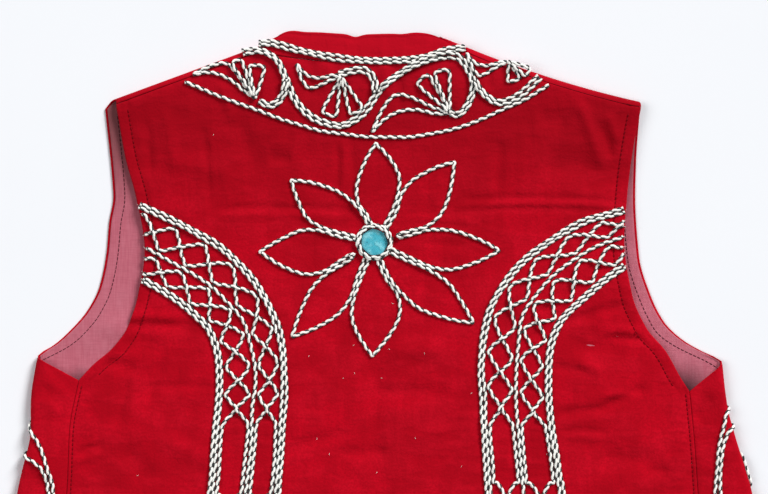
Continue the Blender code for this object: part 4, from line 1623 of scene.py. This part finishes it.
def garment_place(group):
    """The X, Y and Z of a point on the garment."""
    place = new_node(group, "TexCoord")
    split = new_node(group, "SeparateXYZ")
    group.links.new(place.outputs["Object"], split.inputs[0])
    return split


def from_low_to_high(group, start, value):
    """A smooth rise from 0 where the value is Low to 1 where it is High."""
    spread = new_node(group, "MapRange", interpolation_type="SMOOTHSTEP")
    group.links.new(value, spread.inputs["Value"])
    group.links.new(start.outputs["Low"], spread.inputs["From Min"])
    group.links.new(start.outputs["High"], spread.inputs["From Max"])
    return spread.outputs["Result"]


def mottle_group():
    """Cloudy shading of one scale over a piece; Stretch draws it out along the garment's length."""
    inputs = (("Scale", 50.0), ("Detail", 4.0), ("Stretch", 1.0), ("Low", 0.3), ("High", 0.7))
    group, start, end = new_group("mottle", inputs, ("Shade",))
    split = garment_place(group)
    drawn = new_node(group, "Math", operation="DIVIDE")
    join = new_node(group, "CombineXYZ")
    cloud = new_node(group, "TexNoise")
    links = group.links
    links.new(split.outputs["X"], join.inputs["X"])
    links.new(split.outputs["Z"], join.inputs["Z"])
    links.new(split.outputs["Y"], drawn.inputs[0])
    links.new(start.outputs["Stretch"], drawn.inputs[1])
    links.new(drawn.outputs[0], join.inputs["Y"])
    links.new(join.outputs[0], cloud.inputs["Vector"])
    links.new(start.outputs["Scale"], cloud.inputs["Scale"])
    links.new(start.outputs["Detail"], cloud.inputs["Detail"])
    links.new(from_low_to_high(group, start, cloud.outputs["Fac"]), end.inputs["Shade"])
    return group


def climb_group():
    """A slow change from the height Low on the garment to the height High."""
    group, start, end = new_group("climb", (("Low", 0.1), ("High", 0.2)), ("Shade",))
    height = garment_place(group).outputs["Y"]
    group.links.new(from_low_to_high(group, start, height), end.inputs["Shade"])
    return group


def spot_group():
    """A round spot on the garment, seen from above, that fades out at its Radius."""
    group, start, end = new_group("spot", (("X", 0.0), ("Y", 0.0), ("Radius", 0.01)), ("Shade",))
    split = garment_place(group)
    apart = new_node(group, "VectorMath", operation="DISTANCE")
    fade = new_node(group, "MapRange", interpolation_type="SMOOTHSTEP")
    fade.inputs["To Min"].default_value = 1.0
    fade.inputs["To Max"].default_value = 0.0
    for k, source in enumerate((split, start)):
        flat = new_node(group, "CombineXYZ")
        for axis in ("X", "Y"):
            group.links.new(source.outputs[axis], flat.inputs[axis])
        group.links.new(flat.outputs[0], apart.inputs[k])
    group.links.new(apart.outputs["Value"], fade.inputs["Value"])
    group.links.new(start.outputs["Radius"], fade.inputs["From Max"])
    group.links.new(fade.outputs["Result"], end.inputs["Shade"])
    return group


def weave_group():
    """A plain weave of round threads; Pitch is the distance between threads."""
    group, start, end = new_group("plain_weave", (("Pitch", 0.0006),), ("Height",))
    split = garment_place(group)
    crossed = new_node(group, "Math", operation="MULTIPLY")
    high = new_node(group, "Math", operation="ABSOLUTE")
    links = group.links
    for k, axis in enumerate(("X", "Y")):
        count = new_node(group, "Math", operation="DIVIDE")
        turn = new_node(group, "Math", operation="MULTIPLY")
        turn.inputs[1].default_value = math.pi
        wave = new_node(group, "Math", operation="SINE")
        links.new(split.outputs[axis], count.inputs[0])
        links.new(start.outputs["Pitch"], count.inputs[1])
        links.new(count.outputs[0], turn.inputs[0])
        links.new(turn.outputs[0], wave.inputs[0])
        links.new(wave.outputs[0], crossed.inputs[k])
    links.new(crossed.outputs[0], high.inputs[0])
    links.new(high.outputs[0], end.inputs["Height"])
    return group


MOTTLE = mottle_group()
WEAVE = weave_group()
CLIMB = climb_group()
SPOT = spot_group()

# The lining is darker deep in the lower corners of the armholes
Shadow = namedtuple("Shadow", "x y radius strength")
CORNER_SHADOWS = (
    Shadow(0.2180, 0.0110, 0.026, 0.95),
    Shadow(-0.2200, 0.0190, 0.013, 0.60),
)
SHADOW_COLOUR = (0.040, 0.010, 0.014)


def new_finish(name, roughness, specular, sheen=0.0, sheen_roughness=0.5, sheen_tint=(1.0, 1.0, 1.0)):
    material = bpy.data.materials.new(name)
    material.use_nodes = True
    shader = material.node_tree.nodes["Principled BSDF"]
    shader.inputs["Roughness"].default_value = roughness
    shader.inputs["Specular IOR Level"].default_value = specular
    shader.inputs["Sheen Weight"].default_value = sheen
    shader.inputs["Sheen Roughness"].default_value = sheen_roughness
    shader.inputs["Sheen Tint"].default_value = (*sheen_tint, 1.0)
    return material


def place_group(material, group, **values):
    """The output of a shader group that is placed in a material with its own values."""
    node = material.node_tree.nodes.new("ShaderNodeGroup")
    node.node_tree = group
    for label, value in values.items():
        node.inputs[label].default_value = value
    return node.outputs[0]


def mottled(material, scale, detail, low, high, stretch=1.0):
    return place_group(material, MOTTLE, Scale=scale, Detail=detail, Stretch=stretch, Low=low, High=high)


def tint(material, base, colour, share, strength=1.0):
    """Mixes a colour over the base, a colour or a socket, where share is high."""
    links = material.node_tree.links
    blend = new_node(material.node_tree, "Mix", data_type="RGBA")
    colour_a = blend.inputs[6]
    colour_b = blend.inputs[7]
    if isinstance(base, tuple):
        colour_a.default_value = (*base, 1.0)
    else:
        links.new(base, colour_a)
    colour_b.default_value = (*colour, 1.0)
    if strength == 1.0:
        links.new(share, blend.inputs[0])
    else:
        scaled = new_node(material.node_tree, "Math", operation="MULTIPLY")
        scaled.inputs[1].default_value = strength
        links.new(share, scaled.inputs[0])
        links.new(scaled.outputs[0], blend.inputs[0])
    return blend.outputs[2]


def layered(material, colour, layers):
    """A colour under layers of others, each (colour, share, strength)."""
    for over, share, strength in layers:
        colour = tint(material, colour, over, share, strength)
    return colour


def set_colour(material, socket):
    shader = material.node_tree.nodes["Principled BSDF"]
    material.node_tree.links.new(socket, shader.inputs["Base Color"])


def add_bump(material, height, distance):
    """Adds a relief, on top of those already there."""
    links = material.node_tree.links
    shader = material.node_tree.nodes["Principled BSDF"]
    bump = new_node(material.node_tree, "Bump")
    bump.inputs["Distance"].default_value = distance
    bump.inputs["Strength"].default_value = 1.0
    links.new(height, bump.inputs["Height"])
    if shader.inputs["Normal"].is_linked:
        links.new(shader.inputs["Normal"].links[0].from_socket, bump.inputs["Normal"])
    links.new(bump.outputs["Normal"], shader.inputs["Normal"])


def velvet_finish():
    material = new_finish(
        "red_velvet",
        roughness=0.92,
        sheen=0.30,
        sheen_roughness=0.40,
        sheen_tint=(1.0, 0.07, 0.13),
        specular=0.05,
    )
    patches = mottled(material, scale=24.0, detail=2.0, low=0.36, high=0.64)
    levels = mottled(material, scale=40.0, detail=2.0, low=0.38, high=0.64, stretch=0.45)
    streaks = mottled(material, scale=110.0, detail=3.0, low=0.38, high=0.66, stretch=3.5)
    pile = mottled(material, scale=620.0, detail=2.0, low=0.30, high=0.70)
    tufts = mottled(material, scale=2400.0, detail=1.0, low=0.2, high=0.8, stretch=1.6)
    # Painted shade: the velvet darkens towards the shoulders. Painted light: it brightens again towards the
    # neck and the collar.
    painted_shade_top = place_group(material, CLIMB, Low=0.110, High=0.215)
    painted_light_neck = place_group(material, CLIMB, Low=0.210, High=0.250)
    layers = (
        ((0.300, 0.0008, 0.0062), patches, 0.62),
        ((0.560, 0.0040, 0.0180), levels, 0.36),
        ((0.290, 0.0008, 0.0060), streaks, 0.30),
        ((0.310, 0.0010, 0.0070), pile, 0.50),
        ((0.235, 0.0010, 0.0055), painted_shade_top, 0.60),
        ((0.520, 0.0030, 0.0150), painted_light_neck, 0.50),
    )
    set_colour(material, layered(material, (0.480, 0.0012, 0.0110), layers))
    add_bump(material, levels, 0.00030)
    add_bump(material, streaks, 0.00025)
    add_bump(material, pile, 0.00008)
    add_bump(material, tufts, 0.00003)
    return material


def lining_finish():
    pink = (1.0, 0.85, 0.88)
    material = new_finish("mauve_cotton", roughness=0.86, sheen=0.15, sheen_tint=pink, specular=0.2)
    weave = place_group(material, WEAVE, Pitch=0.00055)
    faded = mottled(material, scale=40.0, detail=3.0, low=0.35, high=0.7)
    warp = mottled(material, scale=900.0, detail=1.0, low=0.35, high=0.65, stretch=14.0)
    weft = mottled(material, scale=110.0, detail=2.0, low=0.35, high=0.65, stretch=0.08)
    # Painted shadow: the lining turns a darker brown towards the shoulders.
    painted_shadow_top = place_group(material, CLIMB, Low=0.125, High=0.205)
    layers = (
        ((0.600, 0.190, 0.250), faded, 0.25),
        ((0.650, 0.230, 0.290), warp, 0.25),
        ((0.360, 0.070, 0.105), weft, 0.25),
        ((0.330, 0.065, 0.098), weave, 0.16),
        ((0.170, 0.048, 0.050), painted_shadow_top, 0.85),
    )
    colour = layered(material, (0.500, 0.118, 0.165), layers)
    for shadow in CORNER_SHADOWS:
        spot = place_group(material, SPOT, X=shadow.x, Y=shadow.y, Radius=shadow.radius)
        colour = tint(material, colour, SHADOW_COLOUR, spot, shadow.strength)
    set_colour(material, colour)
    add_bump(material, faded, 0.0003)
    add_bump(material, weave, 0.00012)
    return material


def patch_finish():
    material = new_finish("turquoise_cloth", roughness=0.62, sheen=0.1, specular=0.35)
    weave = place_group(material, WEAVE, Pitch=0.0007)
    # Painted highlights and painted shade: lighter and darker clouds over the patch, for the light and shade
    # on its crumpled cloth. The lighter clouds also give it a relief.
    painted_highlight_clouds = mottled(material, scale=210.0, detail=4.0, low=0.42, high=0.66)
    painted_shade_clouds = mottled(material, scale=320.0, detail=3.0, low=0.46, high=0.70)
    specks = mottled(material, scale=900.0, detail=1.0, low=0.66, high=0.74)
    layers = (
        ((0.200, 0.600, 0.680), painted_highlight_clouds, 0.9),
        ((0.040, 0.330, 0.440), painted_shade_clouds, 0.6),
        ((0.010, 0.060, 0.080), specks, 0.8),
    )
    set_colour(material, layered(material, (0.045, 0.400, 0.500), layers))
    add_bump(material, painted_highlight_clouds, 0.0002)
    add_bump(material, weave, 0.00008)
    return material


def cord_finish(name, colour, soiled, fibre_colour, roughness):
    material = new_finish(name, roughness, sheen=0.3, specular=0.25)
    dirt = mottled(material, scale=160.0, detail=3.0, low=0.45, high=0.75)
    fibres = mottled(material, scale=2600.0, detail=2.0, low=0.3, high=0.7)
    set_colour(material, layered(material, colour, ((soiled, dirt, 0.4), (fibre_colour, fibres, 0.25))))
    add_bump(material, fibres, 0.00012)
    return material


THREAD_DARKNESS = 0.55


def thread_finish(name, colour):
    material = new_finish(name, roughness=0.8, specular=0.08)
    fibres = mottled(material, scale=3000.0, detail=1.0, low=0.3, high=0.7)
    darker = tuple(THREAD_DARKNESS * part for part in colour)
    set_colour(material, tint(material, colour, darker, fibres, 0.6))
    add_bump(material, fibres, 0.00005)
    return material


def floor_finish():
    material = new_finish("pale_floor", roughness=0.9, specular=0.1)
    faint = mottled(material, scale=6.0, detail=2.0, low=0.3, high=0.7)
    set_colour(material, tint(material, (0.815, 0.829, 0.858), (0.806, 0.821, 0.851), faint))
    return material


# ---------------------------------------------------------------- camera, light and floor
AIR_COLOUR = (0.97, 0.985, 1.0, 1.0)
AIR_LIGHT = 0.21
FLOOR_SIZE = 4.0
VIEW_CENTRE = (-0.0004, 0.1145)
VIEW_WIDTH = 0.553
CAMERA_DISTANCE = 1.6
SENSOR = 36.0


def new_camera():
    data = bpy.data.cameras.new("camera")
    data.sensor_width = SENSOR
    data.lens = SENSOR * CAMERA_DISTANCE / VIEW_WIDTH
    camera = bpy.data.objects.new("camera", data)
    camera.location = (*VIEW_CENTRE, FOLD_TOP + CAMERA_DISTANCE)
    bpy.context.scene.collection.objects.link(camera)
    bpy.context.scene.camera = camera


def new_sun(name, direction, strength, spread):
    """A soft, even light that shines along a direction."""
    data = bpy.data.lights.new(name, "SUN")
    data.energy = strength
    data.angle = math.radians(spread)
    light = bpy.data.objects.new(name, data)
    light.rotation_euler = Vector(direction).to_track_quat("-Z", "Y").to_euler()
    bpy.context.scene.collection.objects.link(light)


def new_surroundings():
    """Even light from all round, a low key light from the upper right, and a weak fill from the left."""
    world = bpy.data.worlds.new("studio")
    world.use_nodes = True
    background = world.node_tree.nodes["Background"]
    background.inputs["Color"].default_value = AIR_COLOUR
    background.inputs["Strength"].default_value = AIR_LIGHT
    bpy.context.scene.world = world
    bpy.context.scene.view_settings.view_transform = "Standard"
    new_sun("key_light", direction=(-0.92, -1.02, -0.90), strength=3.75, spread=22)
    new_sun("fill_light", direction=(0.95, -0.10, -1.0), strength=1.25, spread=40)


def new_floor():
    sheet = bmesh.new()
    bmesh.ops.create_grid(sheet, x_segments=8, y_segments=8, size=FLOOR_SIZE)
    mesh = bpy.data.meshes.new("floor")
    sheet.to_mesh(mesh)
    sheet.free()
    mesh.materials.append(floor_finish())
    floor = bpy.data.objects.new("floor", mesh)
    bpy.context.scene.collection.objects.link(floor)


# ---------------------------------------------------------------- the vest
new_camera()
new_surroundings()
new_floor()

UNDER_CORDS = under_cord_tree()

red_velvet = velvet_finish()
mauve_cotton = lining_finish()
turquoise_cloth = patch_finish()
white_cord = cord_finish(
    "white_cord",
    colour=(0.950, 0.950, 0.900),
    soiled=(0.760, 0.730, 0.650),
    fibre_colour=(0.800, 0.800, 0.740),
    roughness=0.8,
)
black_cord = cord_finish(
    "black_cord",
    colour=(0.014, 0.018, 0.018),
    soiled=(0.030, 0.034, 0.036),
    fibre_colour=(0.006, 0.008, 0.009),
    roughness=0.7,
)
wine_thread = thread_finish("wine_thread", (0.060, 0.010, 0.018))
red_thread = thread_finish("red_thread", (0.230, 0.002, 0.008))

back = build_back(red_velvet)
front_left, lining_left = build_front("left", LEFT, red_velvet, mauve_cotton)
front_right, lining_right = build_front("right", RIGHT, red_velvet, mauve_cotton)
collar = build_collar(red_velvet)
patch = build_patch(turquoise_cloth)
build_neck(white_cord, black_cord)
for hand, side in HANDS:
    build_band(hand, side, white_cord, black_cord)
build_flower(white_cord, black_cord)
for hand, side in HANDS:
    build_front_cords(hand, side, white_cord, black_cord)
build_lining_stitches(wine_thread)
build_velvet_stitches(red_thread)
build_lint(white_cord)

Cut = namedtuple("Cut", "piece width length area slot replaces rests_on")
CUTS = (
    Cut(back, 0.500, 0.525, 0.214, "red_velvet", "back", ("lining_cotton_left", "lining_cotton_right")),
    Cut(front_left, 0.345, 0.545, 0.131, "red_velvet", "front_left", ("floor",)),
    Cut(front_right, 0.345, 0.545, 0.131, "red_velvet", "front_right", ("floor",)),
    Cut(lining_left, 0.340, 0.535, 0.126, "mauve_cotton", "front_lining_left", ("front_velvet_left",)),
    Cut(lining_right, 0.340, 0.535, 0.126, "mauve_cotton", "front_lining_right", ("front_velvet_right",)),
    Cut(collar, 0.420, 0.020, 0.0078, "red_velvet", "collar", ("back_velvet",)),
    Cut(patch, 0.0196, 0.0196, 0.00029, "turquoise_cloth", "flower_patch", ("back_velvet",)),
)
for cut in CUTS:
    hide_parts(cut.replaces)

for cut in CUTS:
    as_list(cut.rests_on)
